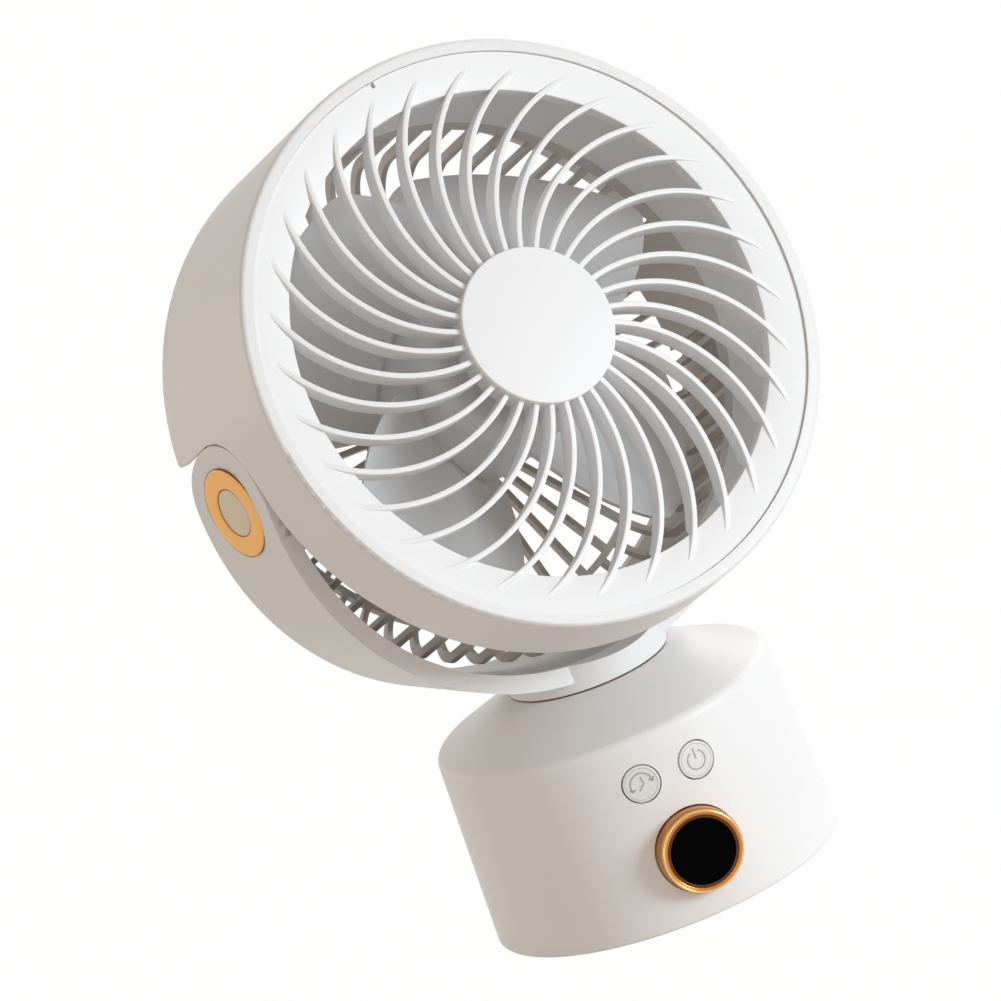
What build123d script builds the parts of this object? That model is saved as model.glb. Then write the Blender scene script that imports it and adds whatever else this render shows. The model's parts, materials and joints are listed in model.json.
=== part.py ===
from build123d import *
import os
from math import asin, cos, degrees, radians, sin, sqrt

os.makedirs("parts", exist_ok=True)

# Portable desk fan: a drum head that tilts in a half-ring yoke, on a turning base.
# Millimetres. Origin: centre of the foot pad's underside. +Z up, the base faces -Y.

# Clearances
RUN = 0.05            # radial running clearance of a shaft in its bore
FIT = 0.1             # fixed piece in its seat
SEAM = 0.4            # open seam round a moving or lift-off piece
RECESS_GAP = 0.6      # head shell to the yoke it swings past

# Pose of the head
HEAD_SWING = 16.65    # turned about the base's axis, towards +X
HEAD_TILT = 22.8      # tilted up from level
PIVOT_Z = 167.8
PIVOT_BACK = 2.0      # tilt axis behind the base's axis

# Base drum
BASE_R = 55.0
SHOULDER_R = 53.2
SHOULDER_Z = 61.0
SHOULDER_ROUND = 3.5
DECK_R = 27.0
DECK_Z = 72.2
RIM_Z = 0.6
RIM_ROUND = 1.0
BASE_WALL = 2.4
DECK_WALL = 2.8

# Base underside
COVER_T = 2.6
PAD_R = 45.4
PAD_T = 1.4
SCREW_R = 1.2
SCREW_HEAD_R = 2.6
SCREW_HEAD_T = 1.4
COVER_SCREW_RING = 48.4
COVER_SCREWS = 4
COVER_POST_R = 4.6
COVER_POST_H = 12.0

# Swing bearing and motor
BEARING_TUBE_R = 15.0
BEARING_TUBE_H = 12.0
SPINDLE_R = 11.0
SPINDLE_BORE_R = 8.0
SPINDLE_WEB_T = 5.0
SPINDLE_FLANGE_R = 20.0
SPINDLE_FLANGE_T = 2.0
SPINDLE_SCREW_RING = 14.5
SPINDLE_SCREWS = 4
RETAINER_SCREW_RING = 6.8
RETAINER_SCREWS = 3
SWING_WASHER_R = 23.5
SWING_WASHER_T = 0.55
RETAINER_R = 16.0
RETAINER_T = 1.6
SWING_MOTOR_R = 14.0
SWING_MOTOR_H = 19.0
SWING_GEARBOX_R = 4.5
SWING_GEARBOX_T = 1.5
SWING_EAR_T = 1.0
SWING_SHAFT_R = 2.5
SWING_EAR_REACH = 17.5

# Tray that carries the swing motor
TRAY_Z = 28.0
TRAY_T = 2.0
TRAY_R = 47.0
TRAY_FRONT_CUT = 34.0
TRAY_POST_R = 3.0
TRAY_POST_RING = 41.5
TRAY_POST_ANGLES = (62, 118, 210, 330)
TRAY_SCREW_DEPTH = 5.0

# Battery
CELL_R = 9.1
CELL_LENGTH = 65.0
CELLS = 2
CELL_PITCH = 19.6
BATTERY_Y = 7.0
HOLDER_WALL = 2.0
HOLDER_DEPTH = 0.55   # share of the cell's diameter that the holder wraps

# Front controls
BOARD_Y = 38.0        # front face of the control board, forward of the axis
BOARD_T = 1.6
BOARD_WIDTH = 44.0
BOARD_LOW = 7.0
BOARD_HIGH = 55.0
BOARD_POST_X = 18.0
BOARD_POST_Z = 33.0
BOARD_POST_R = 3.0
KNOB_Z = 21.75
KNOB_FRONT = 59.2     # front rim of the knob, forward of the axis
KNOB_R = 13.2
KNOB_RIM_R = 12.1
KNOB_BORE_R = 10.4
KNOB_FLANGE_R = 15.4
KNOB_FLANGE_T = 1.4
KNOB_FLANGE_FRONT = 48.8
KNOB_TAPER = 2.2
LENS_SINK = 0.5
LENS_T = 1.2
BUTTON_X = 9.23
BUTTON_Z = 47.1
BUTTON_R = 5.75
BUTTON_FLANGE_R = 7.2
BUTTON_FLANGE_T = 0.9
BUTTON_STEM_R = 2.0
BUTTON_TRAVEL = 0.6
SWITCH_SIDE = 6.0
STEM_REACH = 4.0

# Charging socket at the back
PORT_Z = 15.0
PORT_WIDTH = 9.0
PORT_HEIGHT = 3.2
PORT_DEPTH = 8.0
PORT_WALL = 0.35
PORT_TONGUE_T = 0.7
CHARGE_BOARD_T = 1.6
CHARGE_BOARD_WIDTH = 18.0
CHARGE_BOARD_DEPTH = 13.0
CHARGE_BOARD_Y = 44.0
CHARGE_POST_X = 6.0
CHARGE_POST_R = 2.2

# Yoke
YOKE_R = 93.6
YOKE_INNER_R = 88.0
YOKE_HALF_WIDTH = 21.0
YOKE_WALL = 2.2
YOKE_COVER_T = 2.0
YOKE_SOLID_BELOW = 24.0   # the arm is solid from its tip down to here
NECK_R = 25.5
NECK_GAP = 0.6
ARM_PAD_R = 10.0
ARM_PAD_X = 87.4
BADGE_SEAT_X = 91.4
BADGE_R = 14.33
BADGE_BORE_R = 7.79
BADGE_T = 2.2
CAP_T = 1.9
BOLT_HEAD_R = 6.4
BOLT_HEAD_T = 1.8
BOLT_R = 4.0
BOLT_SEAT_X = 89.2
BOLT_END_X = 81.2
BUSH_R = 5.4
YOKE_SCREW_ANGLES = (-130, -50)
YOKE_SCREW_PAD_R = 3.4

# Head shell
HEAD_R = 93.0
HEAD_FRONT = 47.5     # front lip, forward of the tilt axis
HEAD_REAR = -22.2
HEAD_WALL = 2.4
REAR_ROUND = 0.9
LIP_ROUND = 1.5
LIP_INNER_R = 88.9
LIP_DEPTH = 4.0
DUCT_R = 79.0
DUCT_WALL = 3.0
SPIGOT_WALL = 1.3     # rear grille's sleeve inside the duct wall
INNER_WALL = 1.6
DUCT_SEAM = 11.0
DUCT_END = 7.5        # the duct wall and the wall behind the hollow end here
TONGUE_HALF_WIDTH = 16.0  # at the pivots the duct wall reaches further back
TONGUE_REAR = -24.0
PIVOT_BOSS_R = 6.8
PIVOT_BOSS_X = 86.8
SHELL_CORNER_ROUND = 4.0

# Front grille
FINS = 32
FIN_T = 1.7
FIN_TURN_MID = -10.4      # degrees the fin has turned at its middle radius
FIN_MID_R = 52.0
FIN_TIP_R = 84.0
FIN_TURN_TIP = -31.0
OPENING_R = 76.8
OPENING_FACE = 45.7
RING_FACE = 46.5
RING_R = 88.5
RING_T = 2.2
SKIRT_T = 1.8
SKIRT_REAR = 41.0
HUB_RING_R = 24.2
HUB_RING_T = 1.8
HUB_FACE = 52.1
HUB_CAP_R = 24.65
HUB_CAP_T = 1.7
HUB_SPIGOT = 3.0
FIN_FRONT_HUB = 50.2
FIN_REAR_HUB = 42.2
FIN_FRONT_EDGE = 46.9

# Rear grille: a cage that reaches out behind the drum
PLATE_BARS = 36
CAGE_BARS = 54
BAR_TURN = 3.7
BAR_T = 1.8
CAGE_T = 3.0
SLOT_FRONT = 4.5
REAR_FACE = -37.0
CAGE_CORNER_ROUND = 15.0
PLATE_RING_R = 66.5       # round the plate's bars, where the cage's bars begin
PLATE_RING_T = 2.0
PLATE_DISC_R = 25.0
MOTOR_CUP_R = 19.0
MOTOR_CUP_FRONT = 5.0
EAR_RING = 85.3
EAR_R = 4.0
EAR_T = 3.0
EAR_ANGLES = (30, 90, 150)
REAR_SCREW_LENGTH = 7.5

# Fan motor and impeller
FAN_MOTOR_R = 16.8
FAN_MOTOR_FRONT = 6.0
FAN_MOTOR_WALL = 1.4
COIL_BORE_R = 13.1
MAGNET_REAR = -24.0
MAGNET_FRONT = -4.0
MAGNET_R = 12.6
SHAFT_R = 2.5
SHAFT_REAR = -31.5
SHAFT_FRONT = 30.6
BEARING_R = 5.5
BEARING_T = 4.0
IMPELLER_R = 70.0
HUB_R = 28.0
HUB_REAR = -14.0
HUB_FRONT = 28.0
HUB_WALL = 2.0
HUB_CORNER_ROUND = 6.0
BORE_BOSS_R = 6.0
BORE_BOSS_REAR = 8.0
BLADES = 4
BLADE_T = 1.6
BLADE_REAR = -17.0
BLADE_FRONT = 25.0
BLADE_CAMBER = 5.0
BLADE_OVERRUN = 1.2       # bands reach past the outline that trims them
# Radius, middle and half length of each section that a blade is lofted through
BLADE_SECTIONS = ((8.0, -9.0, 18.0), (34.0, 4.5, 32.0), (72.0, 9.5, 34.5))
BLADE_TURN = 35.0         # degrees, the direction the bands are square to
BLADE_ROOT_R = 18.0
BLADE_MIDDLE_R = 49.0
LEAD_ROOT = 47.0          # leading and trailing edges, degrees from that direction
LEAD_MIDDLE = 47.0
LEAD_TIP = 38.0
TRAIL_ROOT = -60.0
TRAIL_MIDDLE = -35.0
TRAIL_TIP = -19.0
BLADE_TIP_ROUND = 9.0
NUT_R = 6.0
NUT_T = 2.6

# Work planes: each frame looks out of its own front, x to the viewer's right
BASE_FRONT = Plane.XZ
ACROSS = Vector(cos(radians(HEAD_SWING)), sin(radians(HEAD_SWING)), 0)
AHEAD = Vector(sin(radians(HEAD_SWING)), -cos(radians(HEAD_SWING)), 0)
UP = Vector(0, 0, 1)
PIVOT = UP * PIVOT_Z - AHEAD * PIVOT_BACK
YOKE = Plane(origin=PIVOT, x_dir=ACROSS, z_dir=AHEAD)
HEAD = Plane(origin=PIVOT, x_dir=ACROSS,
             z_dir=AHEAD * cos(radians(HEAD_TILT)) + UP * sin(radians(HEAD_TILT)))
FAN_AXIS = Axis(HEAD.origin, HEAD.z_dir)


def section_of(frame, angle=0.0):
    """Plane through a frame's axis, at an angle round it: x is the radius, y runs forward."""
    out = frame.x_dir * cos(radians(angle)) + frame.y_dir * sin(radians(angle))
    return Plane(origin=frame.origin, x_dir=out, z_dir=out.cross(frame.z_dir))


def side_of(frame, sign=-1, distance=0.0):
    """Plane across the tilt axis, looking out to one side: x runs forward."""
    place = frame.origin + frame.x_dir * (sign * distance)
    return Plane(origin=place, x_dir=frame.z_dir, z_dir=frame.x_dir * sign)


def wall_plane(angle, height, distance):
    """Plane facing out of the base's wall, at an angle from its front."""
    out = Vector(sin(radians(angle)), -cos(radians(angle)), 0)
    across = Vector(cos(radians(angle)), sin(radians(angle)), 0)
    return Plane(origin=out * distance + Vector(0, 0, height), x_dir=across, z_dir=out)


def polar(radius, angle):
    return (radius * cos(radians(angle)), radius * sin(radians(angle)))


def ring_plane(frame, angle, distance):
    """Plane facing straight out from a frame's axis, at an angle round it."""
    out = frame.x_dir * cos(radians(angle)) + frame.y_dir * sin(radians(angle))
    return Plane(origin=frame.origin + out * distance, x_dir=frame.z_dir, z_dir=out)


def turned(plane, low, high, outer, inner=0.0):
    """Round piece between two distances along a plane's normal, with an optional bore."""
    with BuildPart() as piece:
        with BuildSketch(plane.offset(low)):
            Circle(outer)
            if inner:
                Circle(inner, mode=Mode.SUBTRACT)
        extrude(amount=high - low)
    return piece


def wall_radius(height):
    """Outer radius of the tapered drum wall at a height."""
    share = (height - RIM_Z) / (SHOULDER_Z - RIM_Z)
    return BASE_R + share * (SHOULDER_R - BASE_R)


# The head's turned shapes start where no bar, ear or pivot meets them
HEAD_START = 267
HEAD_SECTION = section_of(HEAD, HEAD_START)
HEAD_ON_SIDE = Plane(origin=HEAD.origin, x_dir=HEAD.y_dir, z_dir=HEAD.z_dir)


# Base shell: tapered drum with a shallow cone on top, hollow, open below
COVER_TOP = RIM_Z + COVER_T
CEILING_Z = DECK_Z - DECK_WALL
BEARING_LOW = DECK_Z - BEARING_TUBE_H
BUTTON_WALL_R = wall_radius(BUTTON_Z)
BUTTON_ANGLE = degrees(asin(BUTTON_X / BUTTON_WALL_R))
PORT_FACE = wall_radius(PORT_Z)
COVER_R = BASE_R - BASE_WALL - FIT
CHARGE_BOARD_TOP = PORT_Z - PORT_HEIGHT / 2
CHARGE_BOARD_LOW = CHARGE_BOARD_TOP - CHARGE_BOARD_T

with BuildPart() as base_shell:
    with BuildSketch(Plane.XZ) as drum:
        with BuildLine():
            Polyline((0, RIM_Z), (BASE_R, RIM_Z), (SHOULDER_R, SHOULDER_Z),
                     (DECK_R, DECK_Z), (0, DECK_Z), close=True)
        make_face()
        fillet(drum.vertices().sort_by_distance((BASE_R, RIM_Z))[0], RIM_ROUND)
        fillet(drum.vertices().sort_by_distance((SHOULDER_R, SHOULDER_Z))[0], SHOULDER_ROUND)
    revolve(axis=Axis.Z)
    with BuildSketch(Plane.XZ):
        with BuildLine():
            Polyline((0, RIM_Z), (BASE_R - BASE_WALL, RIM_Z),
                     (SHOULDER_R - BASE_WALL, SHOULDER_Z - DECK_WALL / 2),
                     (DECK_R, CEILING_Z), (0, CEILING_Z), close=True)
        make_face()
    revolve(axis=Axis.Z, mode=Mode.SUBTRACT)
    with BuildSketch(Plane.XY.offset(CEILING_Z)):
        Circle(BEARING_TUBE_R)
    extrude(amount=BEARING_LOW - CEILING_Z)
    with BuildSketch(Plane.XY.offset(BEARING_LOW)):
        Circle(SPINDLE_R + RUN)
    extrude(amount=BEARING_TUBE_H, mode=Mode.SUBTRACT)
    # Posts for the cover's screws, each with its pilot hole
    with BuildSketch(Plane.XY.offset(COVER_TOP)):
        with PolarLocations(COVER_SCREW_RING, COVER_SCREWS, start_angle=45):
            Circle(COVER_POST_R)
    extrude(amount=COVER_POST_H)
    with BuildSketch(Plane.XY.offset(COVER_TOP)):
        with PolarLocations(COVER_SCREW_RING, COVER_SCREWS, start_angle=45):
            Circle(SCREW_R + RUN)
    extrude(amount=COVER_POST_H - BASE_WALL, mode=Mode.SUBTRACT)
    # Posts behind the front wall that hold the control board
    with BuildSketch(BASE_FRONT.offset(BOARD_Y)):
        with Locations((-BOARD_POST_X, BOARD_POST_Z), (BOARD_POST_X, BOARD_POST_Z)):
            Circle(BOARD_POST_R)
    extrude(amount=sqrt(wall_radius(BOARD_POST_Z) ** 2 - BOARD_POST_X ** 2) - BASE_WALL / 2 - BOARD_Y)
    with BuildSketch(BASE_FRONT.offset(BOARD_Y)):
        with Locations((-BOARD_POST_X, BOARD_POST_Z), (BOARD_POST_X, BOARD_POST_Z)):
            Circle(SCREW_R + RUN)
    extrude(amount=BASE_WALL * 2, mode=Mode.SUBTRACT)
    # Openings for the knob, the buttons and the charging socket
    with BuildSketch(BASE_FRONT.offset(BOARD_Y)):
        with Locations((0, KNOB_Z)):
            Circle(KNOB_R + SEAM)
    extrude(amount=BASE_R - BOARD_Y, mode=Mode.SUBTRACT)
    for side in (-1, 1):
        with BuildSketch(wall_plane(side * BUTTON_ANGLE, BUTTON_Z, BUTTON_WALL_R - 2 * BASE_WALL)):
            Circle(BUTTON_R + SEAM)
        extrude(amount=3 * BASE_WALL, mode=Mode.SUBTRACT)
    with BuildSketch(wall_plane(180, PORT_Z, PORT_FACE - 2 * BASE_WALL)):
        SlotOverall(PORT_WIDTH + 2 * FIT, PORT_HEIGHT + 2 * FIT)
    extrude(amount=3 * BASE_WALL, mode=Mode.SUBTRACT)

base_shell.part.label = "base_shell"
export_step(base_shell.part, "parts/base_shell.step")

# Bottom cover: closes the drum, with sunk screw seats and a shallow seat for the pad
with BuildPart() as bottom_cover:
    with BuildSketch(Plane.XY.offset(RIM_Z)):
        Circle(COVER_R)
    extrude(amount=COVER_T)
    with BuildSketch(Plane.XY.offset(RIM_Z)):
        Circle(PAD_R + FIT)
    extrude(amount=PAD_T - RIM_Z, mode=Mode.SUBTRACT)
    with Locations(Plane.XY.offset(RIM_Z)):
        with PolarLocations(COVER_SCREW_RING, COVER_SCREWS, start_angle=45):
            Cylinder(SCREW_R + RUN, COVER_T, align=(Align.CENTER, Align.CENTER, Align.MIN),
                     mode=Mode.SUBTRACT)
            Cylinder(SCREW_HEAD_R + FIT, SCREW_HEAD_T, align=(Align.CENTER, Align.CENTER, Align.MIN),
                     mode=Mode.SUBTRACT)
    with BuildSketch(Plane.XY.offset(COVER_TOP)):
        with Locations((-CHARGE_POST_X, CHARGE_BOARD_Y), (CHARGE_POST_X, CHARGE_BOARD_Y)):
            Circle(CHARGE_POST_R)
    extrude(amount=CHARGE_BOARD_LOW - COVER_TOP)

bottom_cover.part.label = "bottom_cover"
export_step(bottom_cover.part, "parts/bottom_cover.step")

# Round rubber pad that the fan stands on
foot_pad = turned(Plane.XY, 0, PAD_T, PAD_R)
foot_pad.part.label = "foot_pad"
export_step(foot_pad.part, "parts/foot_pad.step")

# Screws that hold the cover to the shell
with BuildPart() as cover_screws:
    with PolarLocations(COVER_SCREW_RING, COVER_SCREWS, start_angle=45):
        with Locations((0, 0, RIM_Z + FIT)):
            Cylinder(SCREW_HEAD_R, SCREW_HEAD_T - FIT, align=(Align.CENTER, Align.CENTER, Align.MIN))
            Cylinder(SCREW_R, COVER_T + COVER_POST_H / 2, align=(Align.CENTER, Align.CENTER, Align.MIN))

cover_screws.part.label = "cover_screws"
export_step(cover_screws.part, "parts/cover_screws.step")

# Battery: two cells side by side in a cradle on the cover
CELL_Z = COVER_TOP + HOLDER_WALL + CELL_R + FIT
CELL_LANES = [BATTERY_Y + CELL_PITCH * (lane - (CELLS - 1) / 2) for lane in range(CELLS)]
HOLDER_LENGTH = CELL_LENGTH + 2 * HOLDER_WALL + 2 * FIT
HOLDER_BREADTH = CELLS * CELL_PITCH + HOLDER_WALL

with BuildPart() as battery_cells:
    with BuildSketch(Plane.YZ.offset(-CELL_LENGTH / 2)):
        for lane in CELL_LANES:
            with Locations((lane, CELL_Z)):
                Circle(CELL_R)
    extrude(amount=CELL_LENGTH)

battery_cells.part.label = "battery_cells"
export_step(battery_cells.part, "parts/battery_cells.step")

with BuildPart() as battery_holder:
    with BuildSketch(Plane.XY.offset(COVER_TOP)):
        with Locations((0, BATTERY_Y)):
            Rectangle(HOLDER_LENGTH, HOLDER_BREADTH)
    extrude(amount=HOLDER_WALL + 2 * CELL_R * HOLDER_DEPTH)
    with BuildSketch(Plane.YZ.offset(-CELL_LENGTH / 2 - FIT)):
        for lane in CELL_LANES:
            with Locations((lane, CELL_Z)):
                Circle(CELL_R + FIT)
            with Locations((lane, CELL_Z + CELL_R)):
                Rectangle(2 * (CELL_R + FIT), 2 * CELL_R)
    extrude(amount=CELL_LENGTH + 2 * FIT, mode=Mode.SUBTRACT)

battery_holder.part.label = "battery_holder"
export_step(battery_holder.part, "parts/battery_holder.step")

# Tray on three posts over the battery, with a raised seat for the swing motor
RETAINER_TOP = BEARING_LOW - RUN
RETAINER_LOW = RETAINER_TOP - RETAINER_T
MOTOR_TOP = RETAINER_LOW - SCREW_HEAD_T - SEAM
MOTOR_LOW = MOTOR_TOP - SWING_MOTOR_H
TRAY_TOP = TRAY_Z + TRAY_T

with BuildPart() as motor_tray:
    with BuildSketch(Plane.XY.offset(TRAY_Z)):
        Circle(TRAY_R)
        with Locations((0, -TRAY_R)):
            Rectangle(2 * TRAY_R, 2 * (TRAY_R - TRAY_FRONT_CUT), mode=Mode.SUBTRACT)
    extrude(amount=TRAY_T)
    with BuildSketch(Plane.XY.offset(TRAY_TOP)):
        SlotOverall(2 * (SWING_EAR_REACH + SCREW_HEAD_R), 2 * SWING_MOTOR_R)
        Circle(SWING_MOTOR_R - TRAY_T, mode=Mode.SUBTRACT)
    extrude(amount=MOTOR_LOW - TRAY_TOP)
    with BuildSketch(Plane.XY.offset(COVER_TOP)):
        with Locations(*[polar(TRAY_POST_RING, angle) for angle in TRAY_POST_ANGLES]):
            Circle(TRAY_POST_R)
    extrude(amount=TRAY_Z - COVER_TOP)
    with BuildSketch(Plane.XY.offset(MOTOR_LOW)):
        with Locations((-SWING_EAR_REACH, 0), (SWING_EAR_REACH, 0)):
            Circle(SCREW_R + RUN)
    extrude(amount=-TRAY_SCREW_DEPTH, mode=Mode.SUBTRACT)

motor_tray.part.label = "motor_tray"
export_step(motor_tray.part, "parts/motor_tray.step")

# Swing motor: flat geared can with two ears, bored for its output shaft
SHAFT_SINK = SWING_MOTOR_H / 3

with BuildPart() as swing_motor:
    with BuildSketch(Plane.XY.offset(MOTOR_LOW)):
        SlotOverall(2 * (SWING_EAR_REACH + SCREW_HEAD_R), 2 * SCREW_HEAD_R)
    extrude(amount=SWING_EAR_T)
    with BuildSketch(Plane.XY.offset(MOTOR_LOW)):
        Circle(SWING_MOTOR_R)
    extrude(amount=SWING_MOTOR_H - SWING_GEARBOX_T)
    with BuildSketch(Plane.XY.offset(MOTOR_TOP - SWING_GEARBOX_T)):
        Circle(SWING_GEARBOX_R)
    extrude(amount=SWING_GEARBOX_T)
    with BuildSketch(Plane.XY.offset(MOTOR_LOW)):
        with Locations((-SWING_EAR_REACH, 0), (SWING_EAR_REACH, 0)):
            Circle(SCREW_R + RUN)
    extrude(amount=SWING_EAR_T, mode=Mode.SUBTRACT)
    with BuildSketch(Plane.XY.offset(MOTOR_TOP)):
        Circle(SWING_SHAFT_R + RUN)
    extrude(amount=-SHAFT_SINK, mode=Mode.SUBTRACT)

swing_motor.part.label = "swing_motor"
export_step(swing_motor.part, "parts/swing_motor.step")

with BuildPart() as swing_motor_screws:
    for side in (-1, 1):
        with Locations((side * SWING_EAR_REACH, 0, MOTOR_LOW + SWING_EAR_T)):
            Cylinder(SCREW_HEAD_R - FIT, SCREW_HEAD_T, align=(Align.CENTER, Align.CENTER, Align.MIN))
            Cylinder(SCREW_R, TRAY_SCREW_DEPTH, align=(Align.CENTER, Align.CENTER, Align.MAX))

swing_motor_screws.part.label = "swing_motor_screws"
export_step(swing_motor_screws.part, "parts/swing_motor_screws.step")

# Control board behind the front wall, with its screws
with BuildPart() as control_board:
    with BuildSketch(BASE_FRONT.offset(BOARD_Y - BOARD_T)):
        with Locations((0, (BOARD_LOW + BOARD_HIGH) / 2)):
            Rectangle(BOARD_WIDTH, BOARD_HIGH - BOARD_LOW)
        with Locations((-BOARD_POST_X, BOARD_POST_Z), (BOARD_POST_X, BOARD_POST_Z)):
            Circle(SCREW_R + RUN, mode=Mode.SUBTRACT)
    extrude(amount=BOARD_T)

control_board.part.label = "control_board"
export_step(control_board.part, "parts/control_board.step")

with BuildPart() as board_screws:
    for side in (-1, 1):
        with Locations(BASE_FRONT.offset(BOARD_Y - BOARD_T)):
            with Locations((side * BOARD_POST_X, BOARD_POST_Z)):
                Cylinder(SCREW_HEAD_R, SCREW_HEAD_T, align=(Align.CENTER, Align.CENTER, Align.MAX))
                Cylinder(SCREW_R, BOARD_T + BASE_WALL, align=(Align.CENTER, Align.CENTER, Align.MIN))

board_screws.part.label = "board_screws"
export_step(board_screws.part, "parts/board_screws.step")

# Display and knob: a fixed round core carries the dark lens, and the metal ring turns on it
KNOB = Plane(origin=(0, 0, KNOB_Z), x_dir=BASE_FRONT.x_dir, z_dir=BASE_FRONT.z_dir)
KNOB_SECTION = section_of(KNOB)
KNOB_AXIS = Axis(KNOB.origin, KNOB.z_dir)
LENS_FRONT = KNOB_FRONT - LENS_SINK
KNOB_BACK = KNOB_FLANGE_FRONT - KNOB_FLANGE_T

display_core = turned(KNOB, BOARD_Y, LENS_FRONT - LENS_T, KNOB_BORE_R - RUN)
display_core.part.label = "display_core"
export_step(display_core.part, "parts/display_core.step")

display_lens = turned(KNOB, LENS_FRONT - LENS_T, LENS_FRONT, KNOB_BORE_R - RUN)
display_lens.part.label = "display_lens"
export_step(display_lens.part, "parts/display_lens.step")

knob_encoder = turned(KNOB, BOARD_Y, KNOB_BACK - SEAM, KNOB_FLANGE_R - KNOB_FLANGE_T, KNOB_BORE_R + FIT)
knob_encoder.part.label = "knob_encoder"
export_step(knob_encoder.part, "parts/knob_encoder.step")

with BuildPart() as knob_ring:
    with BuildSketch(KNOB_SECTION) as knob_shape:
        with BuildLine():
            Polyline((KNOB_BORE_R, KNOB_BACK), (KNOB_FLANGE_R, KNOB_BACK),
                     (KNOB_FLANGE_R, KNOB_FLANGE_FRONT), (KNOB_R, KNOB_FLANGE_FRONT),
                     (KNOB_R, KNOB_FRONT - KNOB_TAPER), (KNOB_RIM_R, KNOB_FRONT),
                     (KNOB_BORE_R + LENS_SINK, KNOB_FRONT), (KNOB_BORE_R, LENS_FRONT), close=True)
        make_face()
        fillet(knob_shape.vertices().sort_by_distance((KNOB_R, KNOB_FRONT - KNOB_TAPER))[0], KNOB_TAPER / 2)
        fillet(knob_shape.vertices().sort_by_distance((KNOB_RIM_R, KNOB_FRONT))[0], LENS_SINK)
    revolve(axis=KNOB_AXIS)

knob_ring.part.label = "knob_ring"
export_step(knob_ring.part, "parts/knob_ring.step")

# Two push buttons square to the curved wall, each over its own switch
INNER_WALL_R = BUTTON_WALL_R - BASE_WALL
BUTTON_FLANGE_FRONT = sqrt(INNER_WALL_R ** 2 - BUTTON_FLANGE_R ** 2) - FIT
BUTTON_FLANGE_BACK = BUTTON_FLANGE_FRONT - BUTTON_FLANGE_T
STEM_END = BUTTON_FLANGE_BACK - STEM_REACH
SWITCH_TOP = STEM_END - BUTTON_TRAVEL - RUN

for name, side in (("swing_button", -1), ("power_button", 1)):
    face = wall_plane(side * BUTTON_ANGLE, BUTTON_Z, 0)
    with BuildPart() as button:
        with BuildSketch(face.offset(BUTTON_FLANGE_FRONT)):
            Circle(BUTTON_R)
        extrude(amount=BUTTON_WALL_R - BUTTON_FLANGE_FRONT)
        chamfer(button.edges().filter_by(GeomType.CIRCLE).sort_by(Axis((0, 0, 0), face.z_dir))[-1], FIT * 2)
        with BuildSketch(face.offset(BUTTON_FLANGE_BACK)):
            Circle(BUTTON_FLANGE_R)
        extrude(amount=BUTTON_FLANGE_T)
        with BuildSketch(face.offset(STEM_END)):
            Circle(BUTTON_STEM_R)
        extrude(amount=STEM_REACH)
    button.part.label = name
    export_step(button.part, f"parts/{name}.step")

with BuildPart() as button_switches:
    for side in (-1, 1):
        with BuildSketch(wall_plane(side * BUTTON_ANGLE, BUTTON_Z, BOARD_Y - SWITCH_SIDE)):
            Rectangle(SWITCH_SIDE, SWITCH_SIDE)
        extrude(amount=SWITCH_TOP - BOARD_Y + SWITCH_SIDE)
    split(bisect_by=BASE_FRONT.offset(BOARD_Y), keep=Keep.TOP)

button_switches.part.label = "button_switches"
export_step(button_switches.part, "parts/button_switches.step")

# Charging socket on its own small board at the back
with BuildPart() as charge_board:
    with BuildSketch(Plane.XY.offset(CHARGE_BOARD_LOW)):
        with Locations((0, CHARGE_BOARD_Y)):
            Rectangle(CHARGE_BOARD_WIDTH, CHARGE_BOARD_DEPTH)
    extrude(amount=CHARGE_BOARD_T)

charge_board.part.label = "charge_board"
export_step(charge_board.part, "parts/charge_board.step")

with BuildPart() as charging_socket:
    with BuildSketch(wall_plane(180, PORT_Z, PORT_FACE - PORT_DEPTH)):
        SlotOverall(PORT_WIDTH, PORT_HEIGHT)
    extrude(amount=PORT_DEPTH - FIT)
    with BuildSketch(wall_plane(180, PORT_Z, PORT_FACE - PORT_DEPTH + BASE_WALL / 2)):
        SlotOverall(PORT_WIDTH - 2 * PORT_WALL, PORT_HEIGHT - 2 * PORT_WALL)
    extrude(amount=PORT_DEPTH, mode=Mode.SUBTRACT)
    with BuildSketch(wall_plane(180, PORT_Z, PORT_FACE - PORT_DEPTH)):
        Rectangle(PORT_WIDTH - PORT_HEIGHT, PORT_TONGUE_T)
    extrude(amount=PORT_DEPTH - BASE_WALL / 2)

charging_socket.part.label = "charging_socket"
export_step(charging_socket.part, "parts/charging_socket.step")

# Swing bearing: washer on the deck, hollow spindle, retainer below the bearing tube
NECK_LOW = DECK_Z + NECK_GAP

swing_washer = turned(Plane.XY, DECK_Z, DECK_Z + SWING_WASHER_T, SWING_WASHER_R, SPINDLE_R + SEAM)
swing_washer.part.label = "swing_washer"
export_step(swing_washer.part, "parts/swing_washer.step")

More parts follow.
